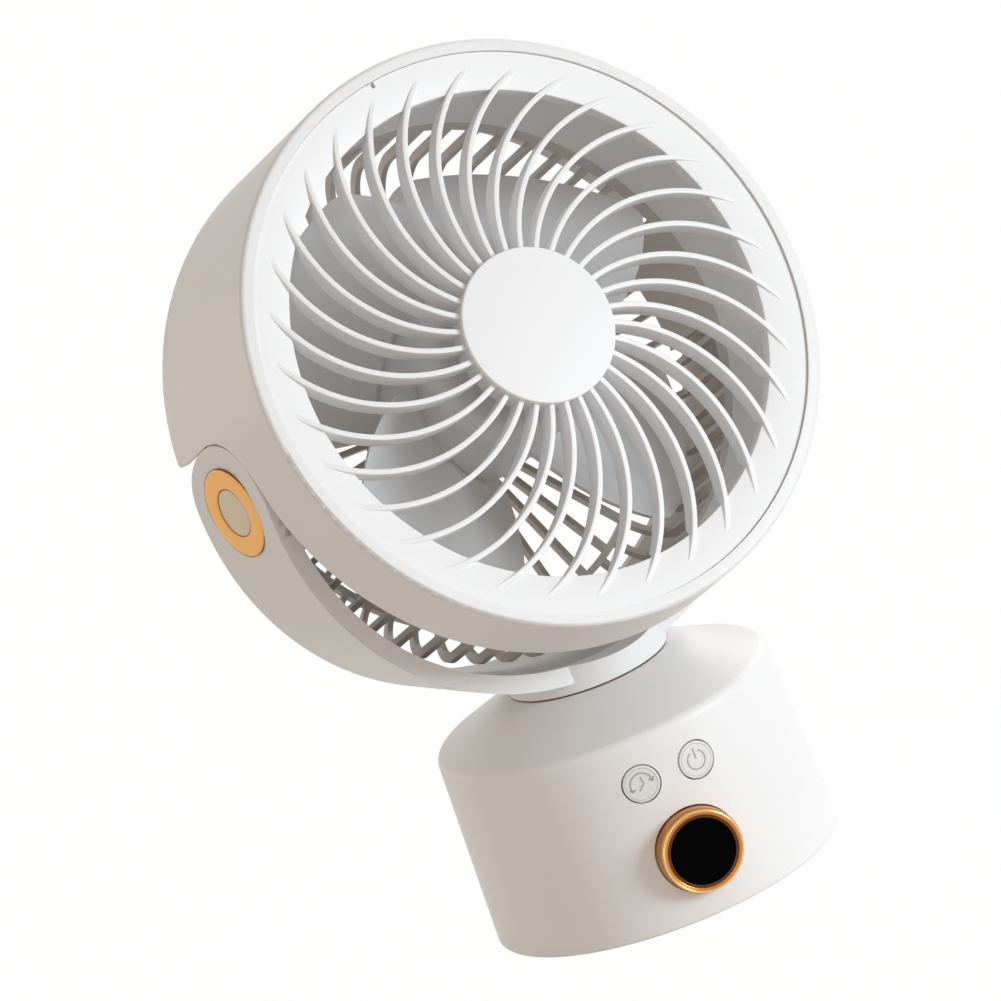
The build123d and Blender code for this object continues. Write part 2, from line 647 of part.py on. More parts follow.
with BuildPart() as spindle:
    with BuildSketch(Plane.XY.offset(NECK_LOW)):
        Circle(SPINDLE_FLANGE_R)
    extrude(amount=SPINDLE_FLANGE_T)
    with BuildSketch(Plane.XY.offset(RETAINER_TOP)):
        Circle(SPINDLE_R)
    extrude(amount=NECK_LOW - RETAINER_TOP)
    with BuildSketch(Plane.XY.offset(RETAINER_TOP + SPINDLE_WEB_T)):
        Circle(SPINDLE_BORE_R)
    extrude(amount=NECK_LOW + SPINDLE_FLANGE_T - RETAINER_TOP - SPINDLE_WEB_T, mode=Mode.SUBTRACT)
    with BuildSketch(Plane.XY.offset(RETAINER_TOP)):
        Circle(SWING_SHAFT_R + RUN)
        with PolarLocations(RETAINER_SCREW_RING, RETAINER_SCREWS):
            Circle(SCREW_R + RUN)
    extrude(amount=SPINDLE_WEB_T, mode=Mode.SUBTRACT)
    with BuildSketch(Plane.XY.offset(NECK_LOW)):
        with PolarLocations(SPINDLE_SCREW_RING, SPINDLE_SCREWS, start_angle=45):
            Circle(SCREW_R + RUN)
    extrude(amount=SPINDLE_FLANGE_T, mode=Mode.SUBTRACT)

spindle.part.label = "spindle"
export_step(spindle.part, "parts/spindle.step")

with BuildPart() as spindle_retainer:
    with BuildSketch(Plane.XY.offset(RETAINER_LOW)):
        Circle(RETAINER_R)
        Circle(SWING_SHAFT_R + RUN, mode=Mode.SUBTRACT)
        with PolarLocations(RETAINER_SCREW_RING, RETAINER_SCREWS):
            Circle(SCREW_R + RUN, mode=Mode.SUBTRACT)
    extrude(amount=RETAINER_T)

spindle_retainer.part.label = "spindle_retainer"
export_step(spindle_retainer.part, "parts/spindle_retainer.step")

with BuildPart() as retainer_screws:
    with PolarLocations(RETAINER_SCREW_RING, RETAINER_SCREWS):
        with Locations((0, 0, RETAINER_LOW)):
            Cylinder(SCREW_HEAD_R - SEAM, SCREW_HEAD_T, align=(Align.CENTER, Align.CENTER, Align.MAX))
            Cylinder(SCREW_R, RETAINER_T + SPINDLE_WEB_T, align=(Align.CENTER, Align.CENTER, Align.MIN))

retainer_screws.part.label = "retainer_screws"
export_step(retainer_screws.part, "parts/retainer_screws.step")

swing_shaft = turned(Plane.XY, MOTOR_TOP - SHAFT_SINK + FIT, RETAINER_TOP + SPINDLE_WEB_T, SWING_SHAFT_R)
swing_shaft.part.label = "swing_shaft"
export_step(swing_shaft.part, "parts/swing_shaft.step")

# Yoke: half ring with round tips, on a round neck that turns on the base
CHANNEL_R = YOKE_R - YOKE_WALL
CHANNEL_HALF = YOKE_HALF_WIDTH - YOKE_WALL
CHANNEL_FLOOR_Z = PIVOT_Z - CHANNEL_R
COVER_BACK_R = YOKE_INNER_R + YOKE_COVER_T

with BuildPart() as yoke_shell:
    with BuildSketch(YOKE.offset(-YOKE_HALF_WIDTH)):
        Circle(YOKE_R)
    extrude(amount=2 * YOKE_HALF_WIDTH)
    with BuildSketch(side_of(YOKE)):
        Circle(YOKE_HALF_WIDTH)
        with Locations((0, -YOKE_R)):
            Rectangle(2 * YOKE_HALF_WIDTH, 2 * YOKE_R)
    extrude(amount=YOKE_R, both=True, mode=Mode.INTERSECT)
    with BuildSketch(Plane.XY.offset(NECK_LOW)):
        Circle(NECK_R)
    extrude(amount=YOKE_HALF_WIDTH)
    with BuildSketch(YOKE.offset(-2 * YOKE_HALF_WIDTH)):
        Circle(YOKE_INNER_R)
    extrude(amount=4 * YOKE_HALF_WIDTH, mode=Mode.SUBTRACT)
    # Wiring channel, open towards the head
    with BuildSketch(YOKE.offset(-CHANNEL_HALF)):
        Circle(CHANNEL_R)
        with Locations((0, YOKE_R - YOKE_SOLID_BELOW)):
            Rectangle(2 * YOKE_R, 2 * YOKE_R, mode=Mode.SUBTRACT)
    extrude(amount=2 * CHANNEL_HALF, mode=Mode.SUBTRACT)
    for angle in YOKE_SCREW_ANGLES:
        with BuildSketch(ring_plane(YOKE, angle, COVER_BACK_R)):
            Circle(YOKE_SCREW_PAD_R)
        extrude(amount=YOKE_WALL)
        with BuildSketch(ring_plane(YOKE, angle, COVER_BACK_R)):
            Circle(SCREW_R + RUN)
        extrude(amount=YOKE_WALL, mode=Mode.SUBTRACT)
    # Seat for the spindle under the neck, screwed from the channel
    with BuildSketch(Plane.XY.offset(NECK_LOW)):
        Circle(SPINDLE_FLANGE_R + FIT)
    extrude(amount=SPINDLE_FLANGE_T, mode=Mode.SUBTRACT)
    with BuildSketch(Plane.XY.offset(NECK_LOW)):
        Circle(SPINDLE_BORE_R)
        with PolarLocations(SPINDLE_SCREW_RING, SPINDLE_SCREWS, start_angle=45):
            Circle(SCREW_R + RUN)
    extrude(amount=YOKE_HALF_WIDTH, mode=Mode.SUBTRACT)
    with BuildSketch(Plane.XY.offset(CHANNEL_FLOOR_Z)):
        with PolarLocations(SPINDLE_SCREW_RING, SPINDLE_SCREWS, start_angle=45):
            Circle(SCREW_HEAD_R + FIT)
    extrude(amount=SCREW_HEAD_T, mode=Mode.SUBTRACT)
    # Pivots: inner pad, badge recess, seat for the bolt head and bore for the bush
    for side in (-1, 1):
        with BuildSketch(side_of(YOKE, side, ARM_PAD_X)):
            Circle(ARM_PAD_R)
        extrude(amount=YOKE_WALL)
        with BuildSketch(side_of(YOKE, side, BADGE_SEAT_X)):
            Circle(BADGE_R + FIT)
        extrude(amount=2 * YOKE_WALL, mode=Mode.SUBTRACT)
        with BuildSketch(side_of(YOKE, side, BOLT_SEAT_X)):
            Circle(BADGE_BORE_R - SEAM)
        extrude(amount=2 * YOKE_WALL, mode=Mode.SUBTRACT)
        with BuildSketch(side_of(YOKE, side, ARM_PAD_X)):
            Circle(BUSH_R + RUN)
        extrude(amount=2 * YOKE_WALL, mode=Mode.SUBTRACT)

yoke_shell.part.label = "yoke_shell"
export_step(yoke_shell.part, "parts/yoke_shell.step")

with BuildPart() as yoke_cover:
    with BuildSketch(YOKE.offset(FIT - CHANNEL_HALF)):
        Circle(COVER_BACK_R)
        Circle(YOKE_INNER_R, mode=Mode.SUBTRACT)
        with Locations((0, YOKE_R - YOKE_SOLID_BELOW - FIT)):
            Rectangle(2 * YOKE_R, 2 * YOKE_R, mode=Mode.SUBTRACT)
    extrude(amount=2 * (CHANNEL_HALF - FIT))
    for angle in YOKE_SCREW_ANGLES:
        with BuildSketch(ring_plane(YOKE, angle, 0)):
            Circle(SCREW_R + RUN)
        extrude(amount=YOKE_R, mode=Mode.SUBTRACT)
        with BuildSketch(ring_plane(YOKE, angle, 0)):
            Circle(SCREW_HEAD_R + FIT)
        extrude(amount=YOKE_INNER_R + SCREW_HEAD_T, mode=Mode.SUBTRACT)

yoke_cover.part.label = "yoke_cover"
export_step(yoke_cover.part, "parts/yoke_cover.step")

with BuildPart() as yoke_cover_screws:
    for angle in YOKE_SCREW_ANGLES:
        with Locations(ring_plane(YOKE, angle, YOKE_INNER_R + FIT)):
            Cylinder(SCREW_HEAD_R, SCREW_HEAD_T - FIT, align=(Align.CENTER, Align.CENTER, Align.MIN))
            Cylinder(SCREW_R, YOKE_COVER_T + YOKE_WALL - SEAM,
                     align=(Align.CENTER, Align.CENTER, Align.MIN))

yoke_cover_screws.part.label = "yoke_cover_screws"
export_step(yoke_cover_screws.part, "parts/yoke_cover_screws.step")

with BuildPart() as spindle_screws:
    with PolarLocations(SPINDLE_SCREW_RING, SPINDLE_SCREWS, start_angle=45):
        with Locations((0, 0, CHANNEL_FLOOR_Z)):
            Cylinder(SCREW_HEAD_R, SCREW_HEAD_T, align=(Align.CENTER, Align.CENTER, Align.MIN))
            Cylinder(SCREW_R, CHANNEL_FLOOR_Z - NECK_LOW - FIT,
                     align=(Align.CENTER, Align.CENTER, Align.MAX))

spindle_screws.part.label = "spindle_screws"
export_step(spindle_screws.part, "parts/spindle_screws.step")

# Pivot pieces on each side: bush, washer, bolt, ring badge and the cap in its middle
for name, side in (("left", -1), ("right", 1)):
    pivot = side_of(YOKE, side)

    tilt_bush = turned(pivot, ARM_PAD_X, BOLT_SEAT_X, BUSH_R, BOLT_R + RUN)
    tilt_bush.part.label = f"tilt_bush_{name}"
    export_step(tilt_bush.part, f"parts/tilt_bush_{name}.step")

    tilt_washer = turned(pivot, PIVOT_BOSS_X + RUN, ARM_PAD_X - RUN, PIVOT_BOSS_R, BOLT_R + RUN)
    tilt_washer.part.label = f"tilt_washer_{name}"
    export_step(tilt_washer.part, f"parts/tilt_washer_{name}.step")

    with BuildPart() as tilt_bolt:
        with BuildSketch(pivot.offset(BOLT_SEAT_X + RUN)):
            Circle(BOLT_HEAD_R)
        extrude(amount=BOLT_HEAD_T)
        with BuildSketch(pivot.offset(BOLT_END_X)):
            Circle(BOLT_R)
        extrude(amount=BOLT_SEAT_X + BOLT_HEAD_T - BOLT_END_X)
        with BuildSketch(pivot.offset(BOLT_SEAT_X + RUN + BOLT_HEAD_T)):
            RegularPolygon(BOLT_R / 2, 6)
        extrude(amount=-BOLT_HEAD_T, mode=Mode.SUBTRACT)
    tilt_bolt.part.label = f"tilt_bolt_{name}"
    export_step(tilt_bolt.part, f"parts/tilt_bolt_{name}.step")

    with BuildPart() as badge_ring:
        with BuildSketch(pivot.offset(BADGE_SEAT_X)):
            Circle(BADGE_R)
            Circle(BADGE_BORE_R, mode=Mode.SUBTRACT)
        extrude(amount=BADGE_T)
        chamfer(badge_ring.faces().sort_by(Axis(pivot.origin, pivot.z_dir))[-1].edges(), SEAM)
    badge_ring.part.label = f"badge_ring_{name}"
    export_step(badge_ring.part, f"parts/badge_ring_{name}.step")

    pivot_cap = turned(pivot, BADGE_SEAT_X, BADGE_SEAT_X + CAP_T, BADGE_BORE_R - FIT)
    pivot_cap.part.label = f"pivot_cap_{name}"
    export_step(pivot_cap.part, f"parts/pivot_cap_{name}.step")

# Head shell: hollow drum, cut away at both sides and below the pivots to clear the yoke
RECESS_R = YOKE_HALF_WIDTH + RECESS_GAP
BARREL_R = DUCT_R + DUCT_WALL
SLEEVE_R = DUCT_R + SPIGOT_WALL
GRILLE_SEAT = OPENING_FACE - RING_T
SKIRT_INNER_R = HEAD_R - HEAD_WALL


def draw_shell_side(side_view, recess, corner):
    """Side view of the drum: what is left above and in front of the yoke's swing."""
    with Locations(((HEAD_REAR + HEAD_FRONT) / 2, 0)):
        Rectangle(HEAD_FRONT - HEAD_REAR, 2 * HEAD_R)
    Circle(recess, mode=Mode.SUBTRACT)
    with Locations((recess - HEAD_R, -HEAD_R)):
        Rectangle(2 * HEAD_R, 2 * HEAD_R, mode=Mode.SUBTRACT)
    with Locations((-HEAD_R, recess - HEAD_R)):
        Rectangle(2 * HEAD_R, 2 * HEAD_R, mode=Mode.SUBTRACT)
    fillet(side_view.vertices().sort_by_distance((HEAD_REAR, recess))[0], corner)


with BuildPart() as shell_hollow:
    with BuildSketch(HEAD_SECTION):
        with BuildLine():
            Polyline((BARREL_R + INNER_WALL, DUCT_END + HEAD_WALL), (SKIRT_INNER_R, DUCT_END + HEAD_WALL),
                     (SKIRT_INNER_R, HEAD_FRONT - LIP_DEPTH), (LIP_INNER_R, HEAD_FRONT - LIP_DEPTH),
                     (LIP_INNER_R, HEAD_FRONT), (BARREL_R + INNER_WALL, HEAD_FRONT), close=True)
        make_face()
    revolve(axis=FAN_AXIS)
    with BuildSketch(side_of(HEAD)) as hollow_side:
        draw_shell_side(hollow_side, RECESS_R + HEAD_WALL, SHELL_CORNER_ROUND - HEAD_WALL)
    extrude(amount=HEAD_R, both=True, mode=Mode.INTERSECT)
    for angle in EAR_ANGLES:
        with BuildSketch(HEAD.offset(DUCT_END)):
            with Locations(polar(EAR_RING, angle)):
                Circle(EAR_R + INNER_WALL)
        extrude(amount=4 * EAR_T, mode=Mode.SUBTRACT)

# Duct wall, thinner at the back where the rear grille's sleeve sits in it; at the pivots it
# runs further back and carries a boss
with BuildPart() as duct_wall:
    with BuildSketch(HEAD_SECTION):
        with BuildLine():
            Polyline((BARREL_R, TONGUE_REAR), (BARREL_R, GRILLE_SEAT), (DUCT_R, GRILLE_SEAT),
                     (DUCT_R, DUCT_SEAM), (SLEEVE_R + FIT, DUCT_SEAM), (SLEEVE_R + FIT, TONGUE_REAR),
                     close=True)
        make_face()
    revolve(axis=FAN_AXIS)
    with BuildSketch(HEAD.offset(TONGUE_REAR)):
        Rectangle(3 * BARREL_R, 3 * BARREL_R)
        Rectangle(3 * BARREL_R, 2 * TONGUE_HALF_WIDTH, mode=Mode.SUBTRACT)
    extrude(amount=DUCT_END - TONGUE_REAR, mode=Mode.SUBTRACT)
    for side in (-1, 1):
        with BuildSketch(side_of(HEAD, side, SLEEVE_R + SEAM)):
            Circle(PIVOT_BOSS_R)
        extrude(amount=PIVOT_BOSS_X - SLEEVE_R - SEAM)

with BuildPart() as head_shell:
    with BuildSketch(HEAD_SECTION) as drum:
        with BuildLine():
            Polyline((BARREL_R, DUCT_END), (SKIRT_INNER_R, DUCT_END), (SKIRT_INNER_R, HEAD_REAR),
                     (HEAD_R, HEAD_REAR), (HEAD_R, HEAD_FRONT), (BARREL_R, HEAD_FRONT), close=True)
        make_face()
        fillet(drum.vertices().sort_by_distance((HEAD_R, HEAD_REAR))[0], REAR_ROUND)
        fillet(drum.vertices().sort_by_distance((HEAD_R, HEAD_FRONT))[0], LIP_ROUND)
    revolve(axis=FAN_AXIS)
    with BuildSketch(side_of(HEAD)) as outer_side:
        draw_shell_side(outer_side, RECESS_R, SHELL_CORNER_ROUND)
    extrude(amount=HEAD_R, both=True, mode=Mode.INTERSECT)
    add(shell_hollow.part, mode=Mode.SUBTRACT)
    # Room for the front grille's plate in front of the duct wall
    with BuildSketch(HEAD.offset(GRILLE_SEAT)):
        Circle(LIP_INNER_R)
    extrude(amount=LIP_DEPTH, mode=Mode.SUBTRACT)
    add(duct_wall.part)
    for side in (-1, 1):
        with BuildSketch(side_of(HEAD, side, BOLT_END_X - RUN)):
            Circle(BOLT_R + RUN)
        extrude(amount=YOKE_R, mode=Mode.SUBTRACT)
    for angle in EAR_ANGLES:
        with BuildSketch(HEAD.offset(DUCT_END)):
            with Locations(polar(EAR_RING, angle)):
                Circle(SCREW_R + RUN)
        extrude(amount=3 * EAR_T, mode=Mode.SUBTRACT)

head_shell.part.label = "head_shell"
export_step(head_shell.part, "parts/head_shell.step")

# Front grille: curved fins from the hub ring out over the face ring
with BuildPart() as front_grille:
    with BuildSketch(HEAD.offset(FIN_REAR_HUB - FIN_T)):
        for fin in range(FINS):
            turn = 360 / FINS * fin
            with BuildLine():
                spine = ThreePointArc(polar(HUB_RING_R - HUB_RING_T / 2, turn),
                                      polar(FIN_MID_R, turn + FIN_TURN_MID),
                                      polar(FIN_TIP_R, turn + FIN_TURN_TIP))
            trace(spine, FIN_T)
    extrude(amount=HUB_FACE - FIN_REAR_HUB)
    with BuildSketch(HEAD_SECTION):
        with BuildLine():
            Polyline((0, FIN_REAR_HUB), (HUB_RING_R, FIN_REAR_HUB), (OPENING_R, SKIRT_REAR + SEAM / 2),
                     (OPENING_R + SKIRT_T / 2, RING_FACE - RING_T), (RING_R, RING_FACE - RING_T / 2),
                     (FIN_TIP_R, RING_FACE - SEAM), (OPENING_R, FIN_FRONT_EDGE),
                     (HUB_RING_R, FIN_FRONT_HUB), (0, FIN_FRONT_HUB), close=True)
        make_face()
    revolve(axis=FAN_AXIS, mode=Mode.INTERSECT)
    with BuildSketch(HEAD_SECTION) as ring_shape:
        with BuildLine():
            Polyline((OPENING_R, SKIRT_REAR), (OPENING_R, OPENING_FACE), (RING_R, RING_FACE),
                     (RING_R, GRILLE_SEAT), (OPENING_R + SKIRT_T, GRILLE_SEAT),
                     (OPENING_R + SKIRT_T, SKIRT_REAR), close=True)
        make_face()
        fillet(ring_shape.vertices().sort_by_distance((OPENING_R, OPENING_FACE))[0], SKIRT_T / 2)
        fillet(ring_shape.vertices().sort_by_distance((RING_R, RING_FACE))[0], SEAM)
    revolve(axis=FAN_AXIS)
    with BuildSketch(HEAD.offset(FIN_REAR_HUB)):
        Circle(HUB_RING_R)
        Circle(HUB_RING_R - HUB_RING_T, mode=Mode.SUBTRACT)
    extrude(amount=HUB_FACE - HUB_CAP_T - FIN_REAR_HUB)

front_grille.part.label = "front_grille"
export_step(front_grille.part, "parts/front_grille.step")

with BuildPart() as grille_hub_cap:
    with BuildSketch(HEAD.offset(HUB_FACE - HUB_CAP_T)):
        Circle(HUB_CAP_R)
    extrude(amount=HUB_CAP_T)
    fillet(grille_hub_cap.edges().filter_by(GeomType.CIRCLE).sort_by(FAN_AXIS)[-1], SEAM)
    with BuildSketch(HEAD.offset(HUB_FACE - HUB_CAP_T)):
        Circle(HUB_RING_R - HUB_RING_T - FIT)
    extrude(amount=-HUB_SPIGOT)

grille_hub_cap.part.label = "grille_hub_cap"
export_step(grille_hub_cap.part, "parts/grille_hub_cap.step")

# Rear grille: a cage whose bars run back from the duct and turn in, with the motor's cup
CUP_BORE_R = FAN_MOTOR_R + FIT
PLATE_FRONT = REAR_FACE + CAGE_T
CAGE_FRONT = DUCT_END - FIT
EAR_ROOT = EAR_RING - BARREL_R + CAGE_T / 2

with BuildPart() as rear_grille:
    with BuildSketch(HEAD.offset(REAR_FACE)):
        with PolarLocations(PLATE_RING_R, CAGE_BARS, start_angle=BAR_TURN):
            with Locations((CAGE_CORNER_ROUND / 2, 0)):
                Rectangle(CAGE_CORNER_ROUND + BAR_T, BAR_T)
    extrude(amount=SLOT_FRONT + BAR_T - REAR_FACE)
    with BuildSketch(HEAD.offset(REAR_FACE)):
        with PolarLocations(PLATE_RING_R / 2, PLATE_BARS, start_angle=BAR_TURN):
            Rectangle(PLATE_RING_R, BAR_T)
        Circle(PLATE_DISC_R)
    extrude(amount=CAGE_T)
    with BuildSketch(HEAD.offset(REAR_FACE)):
        Circle(PLATE_RING_R + PLATE_RING_T / 2)
        Circle(PLATE_RING_R - PLATE_RING_T / 2, mode=Mode.SUBTRACT)
    extrude(amount=CAGE_T)
    with BuildSketch(HEAD_SECTION) as cage_shape:
        with BuildLine():
            Polyline((0, REAR_FACE), (BARREL_R, REAR_FACE), (BARREL_R, CAGE_FRONT), (DUCT_R, CAGE_FRONT),
                     (DUCT_R, PLATE_FRONT), (0, PLATE_FRONT), close=True)
        make_face()
        fillet(cage_shape.vertices().sort_by_distance((BARREL_R, REAR_FACE))[0], CAGE_CORNER_ROUND)
        fillet(cage_shape.vertices().sort_by_distance((DUCT_R, PLATE_FRONT))[0], CAGE_CORNER_ROUND - CAGE_T)
    revolve(axis=FAN_AXIS, mode=Mode.INTERSECT)
    # Closed ring in front of the bars, with the sleeve that plugs into the duct
    with BuildSketch(HEAD_SECTION):
        with BuildLine():
            Polyline((DUCT_R, SLOT_FRONT), (BARREL_R, SLOT_FRONT), (BARREL_R, CAGE_FRONT),
                     (SLEEVE_R, CAGE_FRONT), (SLEEVE_R, DUCT_SEAM - FIT), (DUCT_R, DUCT_SEAM - FIT),
                     close=True)
        make_face()
    revolve(axis=FAN_AXIS)
    # Closed wall inside the pivots, set back on its outside for the shell's tongues
    with BuildSketch(HEAD_ON_SIDE.offset(TONGUE_REAR - BAR_T)):
        Circle(BARREL_R - FIT)
        Circle(DUCT_R, mode=Mode.SUBTRACT)
        Rectangle(2 * (TONGUE_HALF_WIDTH + BAR_T), 3 * BARREL_R, mode=Mode.INTERSECT)
    extrude(amount=SLOT_FRONT + FIT - TONGUE_REAR + BAR_T)
    with BuildSketch(HEAD_ON_SIDE.offset(TONGUE_REAR - FIT)):
        Rectangle(2 * (TONGUE_HALF_WIDTH + FIT), 3 * BARREL_R)
        Circle(SLEEVE_R - FIT, mode=Mode.SUBTRACT)
    extrude(amount=DUCT_END - TONGUE_REAR, mode=Mode.SUBTRACT)
    # Cup round the fan motor
    with BuildSketch(HEAD.offset(REAR_FACE)):
        Circle(MOTOR_CUP_R)
    extrude(amount=MOTOR_CUP_FRONT - REAR_FACE)
    with BuildSketch(HEAD.offset(PLATE_FRONT)):
        Circle(CUP_BORE_R)
    extrude(amount=MOTOR_CUP_FRONT - PLATE_FRONT, mode=Mode.SUBTRACT)
    # Ears screwed to the wall behind the shell's hollow, with sunk screw seats
    for angle in EAR_ANGLES:
        with BuildSketch(HEAD.offset(CAGE_FRONT)):
            with Locations(polar(EAR_RING, angle)):
                Circle(EAR_R)
            with Locations(Location((*polar(EAR_RING - EAR_ROOT / 2, angle), 0), (0, 0, angle))):
                Rectangle(EAR_ROOT, 2 * EAR_R)
            with Locations(polar(EAR_RING, angle)):
                Circle(SCREW_R + RUN, mode=Mode.SUBTRACT)
        extrude(amount=-EAR_T)
        with BuildSketch(HEAD.offset(CAGE_FRONT - EAR_T)):
            with Locations(polar(EAR_RING, angle)):
                Circle(SCREW_HEAD_R + FIT)
        extrude(amount=SCREW_HEAD_T, mode=Mode.SUBTRACT)

rear_grille.part.label = "rear_grille"
export_step(rear_grille.part, "parts/rear_grille.step")

with BuildPart() as rear_screws:
    for angle in EAR_ANGLES:
        with Locations(HEAD.offset(CAGE_FRONT - EAR_T + FIT)):
            with Locations(polar(EAR_RING, angle)):
                Cylinder(SCREW_HEAD_R, SCREW_HEAD_T - FIT, align=(Align.CENTER, Align.CENTER, Align.MIN))
                Cylinder(SCREW_R, REAR_SCREW_LENGTH, align=(Align.CENTER, Align.CENTER, Align.MIN))

rear_screws.part.label = "rear_screws"
export_step(rear_screws.part, "parts/rear_screws.step")

# Fan motor: closed can with a bearing at each end, coils round the magnet rotor
FAN_MOTOR_REAR = PLATE_FRONT
CAN_BORE_R = FAN_MOTOR_R - FAN_MOTOR_WALL
CAN_REAR = FAN_MOTOR_REAR + FAN_MOTOR_WALL
CAN_FRONT = FAN_MOTOR_FRONT - FAN_MOTOR_WALL

with BuildPart() as fan_motor_can:
    with BuildSketch(HEAD.offset(FAN_MOTOR_REAR)):
        Circle(FAN_MOTOR_R)
    extrude(amount=FAN_MOTOR_FRONT - FAN_MOTOR_REAR)
    with BuildSketch(HEAD.offset(CAN_REAR)):
        Circle(CAN_BORE_R)
    extrude(amount=CAN_FRONT - CAN_REAR, mode=Mode.SUBTRACT)
    for low, high in ((CAN_REAR, CAN_REAR + BEARING_T), (FAN_MOTOR_FRONT - BEARING_T, CAN_FRONT)):
        with BuildSketch(HEAD.offset(low)):
            Circle(BEARING_R + FAN_MOTOR_WALL)
        extrude(amount=high - low)
    with BuildSketch(HEAD.offset(CAN_REAR)):
        Circle(BEARING_R + RUN)
    extrude(amount=FAN_MOTOR_FRONT - CAN_REAR, mode=Mode.SUBTRACT)

fan_motor_can.part.label = "fan_motor_can"
export_step(fan_motor_can.part, "parts/fan_motor_can.step")

with BuildPart() as motor_bearings:
    for low in (CAN_REAR, FAN_MOTOR_FRONT - BEARING_T):
        with BuildSketch(HEAD.offset(low)):
            Circle(BEARING_R)
            Circle(SHAFT_R + RUN, mode=Mode.SUBTRACT)
        extrude(amount=BEARING_T)

motor_bearings.part.label = "motor_bearings"
export_step(motor_bearings.part, "parts/motor_bearings.step")

motor_coils = turned(HEAD, MAGNET_REAR, MAGNET_FRONT, CAN_BORE_R - RUN, COIL_BORE_R)
motor_coils.part.label = "motor_coils"
export_step(motor_coils.part, "parts/motor_coils.step")

magnet_rotor = turned(HEAD, MAGNET_REAR, MAGNET_FRONT, MAGNET_R, SHAFT_R)
magnet_rotor.part.label = "magnet_rotor"
export_step(magnet_rotor.part, "parts/magnet_rotor.step")

motor_shaft = turned(HEAD, SHAFT_REAR, SHAFT_FRONT, SHAFT_R)
motor_shaft.part.label = "motor_shaft"
export_step(motor_shaft.part, "parts/motor_shaft.step")

# Impeller: a hub cup over the motor and four twisted blades, each one a lofted band cut by
# the outline seen from the front


def blade_plane(turn, radius):
    """Plane square to a blade's radius: x along the turn, y forward."""
    out = HEAD.x_dir * cos(radians(turn)) + HEAD.y_dir * sin(radians(turn))
    along = HEAD.y_dir * cos(radians(turn)) - HEAD.x_dir * sin(radians(turn))
    return Plane(origin=HEAD.origin + out * radius, x_dir=along, z_dir=along.cross(HEAD.z_dir))


BLADE_RISE = BLADE_FRONT - BLADE_REAR
BLADE_CENTRE = BLADE_REAR + BLADE_RISE / 2
BAND_RISE = BLADE_RISE / 2 * BLADE_OVERRUN
TIP_MIDDLE = (LEAD_TIP + TRAIL_TIP) / 2

with BuildPart() as blade:
    for radius, middle, half_chord in BLADE_SECTIONS:
        reach = half_chord * BLADE_OVERRUN
        with BuildSketch(blade_plane(BLADE_TURN, radius)):
            with BuildLine():
                spine = ThreePointArc((middle - reach, BLADE_CENTRE + BAND_RISE),
                                      (middle, BLADE_CENTRE - BLADE_CAMBER),
                                      (middle + reach, BLADE_CENTRE - BAND_RISE))
            trace(spine, BLADE_T)
    loft()
    with BuildSketch(HEAD.offset(2 * BLADE_REAR)) as outline:
        with BuildLine():
            lead = ThreePointArc(polar(BLADE_ROOT_R, BLADE_TURN + LEAD_ROOT),
                                 polar(BLADE_MIDDLE_R, BLADE_TURN + LEAD_MIDDLE),
                                 polar(IMPELLER_R, BLADE_TURN + LEAD_TIP))
            tip = ThreePointArc(lead @ 1, polar(IMPELLER_R, BLADE_TURN + TIP_MIDDLE),
                                polar(IMPELLER_R, BLADE_TURN + TRAIL_TIP))
            trail = ThreePointArc(tip @ 1, polar(BLADE_MIDDLE_R, BLADE_TURN + TRAIL_MIDDLE),
                                  polar(BLADE_ROOT_R, BLADE_TURN + TRAIL_ROOT))
            Line(trail @ 1, lead @ 0)
        make_face()
        for corner in (polar(IMPELLER_R, BLADE_TURN + LEAD_TIP), polar(IMPELLER_R, BLADE_TURN + TRAIL_TIP)):
            fillet(outline.vertices().sort_by_distance(corner)[0], BLADE_TIP_ROUND)
    extrude(amount=2 * BLADE_RISE, mode=Mode.INTERSECT)

blade_turns = [HEAD.location * Location((0, 0, 0), (0, 0, 360 / BLADES * turn)) * HEAD.location.inverse()
               for turn in range(BLADES)]

with BuildPart() as impeller:
    with BuildSketch(HEAD_SECTION) as hub_shape:
        with BuildLine():
            Polyline((0, HUB_REAR), (HUB_R, HUB_REAR), (HUB_R, HUB_FRONT), (0, HUB_FRONT), close=True)
        make_face()
        fillet(hub_shape.vertices().sort_by_distance((HUB_R, HUB_FRONT))[0], HUB_CORNER_ROUND)
    revolve(axis=FAN_AXIS)
    with Locations(*blade_turns):
        add(blade.part)
    # Room for the motor, with a boss on the shaft
    with BuildSketch(HEAD_SECTION) as cavity_shape:
        with BuildLine():
            Polyline((0, 2 * BLADE_REAR), (HUB_R - HUB_WALL, 2 * BLADE_REAR),
                     (HUB_R - HUB_WALL, HUB_FRONT - HUB_WALL), (BORE_BOSS_R, HUB_FRONT - HUB_WALL),
                     (BORE_BOSS_R, BORE_BOSS_REAR), (0, BORE_BOSS_REAR), close=True)
        make_face()
        fillet(cavity_shape.vertices().sort_by_distance((HUB_R - HUB_WALL, HUB_FRONT - HUB_WALL))[0],
               HUB_CORNER_ROUND - HUB_WALL)
    revolve(axis=FAN_AXIS, mode=Mode.SUBTRACT)
    with BuildSketch(HEAD.offset(BORE_BOSS_REAR)):
        Circle(SHAFT_R)
    extrude(amount=HUB_FRONT - BORE_BOSS_REAR, mode=Mode.SUBTRACT)

impeller.part.label = "impeller"
export_step(impeller.part, "parts/impeller.step")

with BuildPart() as impeller_nut:
    with BuildSketch(HEAD.offset(HUB_FRONT)):
        RegularPolygon(NUT_R, 6)
        Circle(SHAFT_R, mode=Mode.SUBTRACT)
    extrude(amount=NUT_T)

impeller_nut.part.label = "impeller_nut"
export_step(impeller_nut.part, "parts/impeller_nut.step")
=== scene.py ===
import json
import math

import bmesh
import bpy
from mathutils import Matrix, Vector


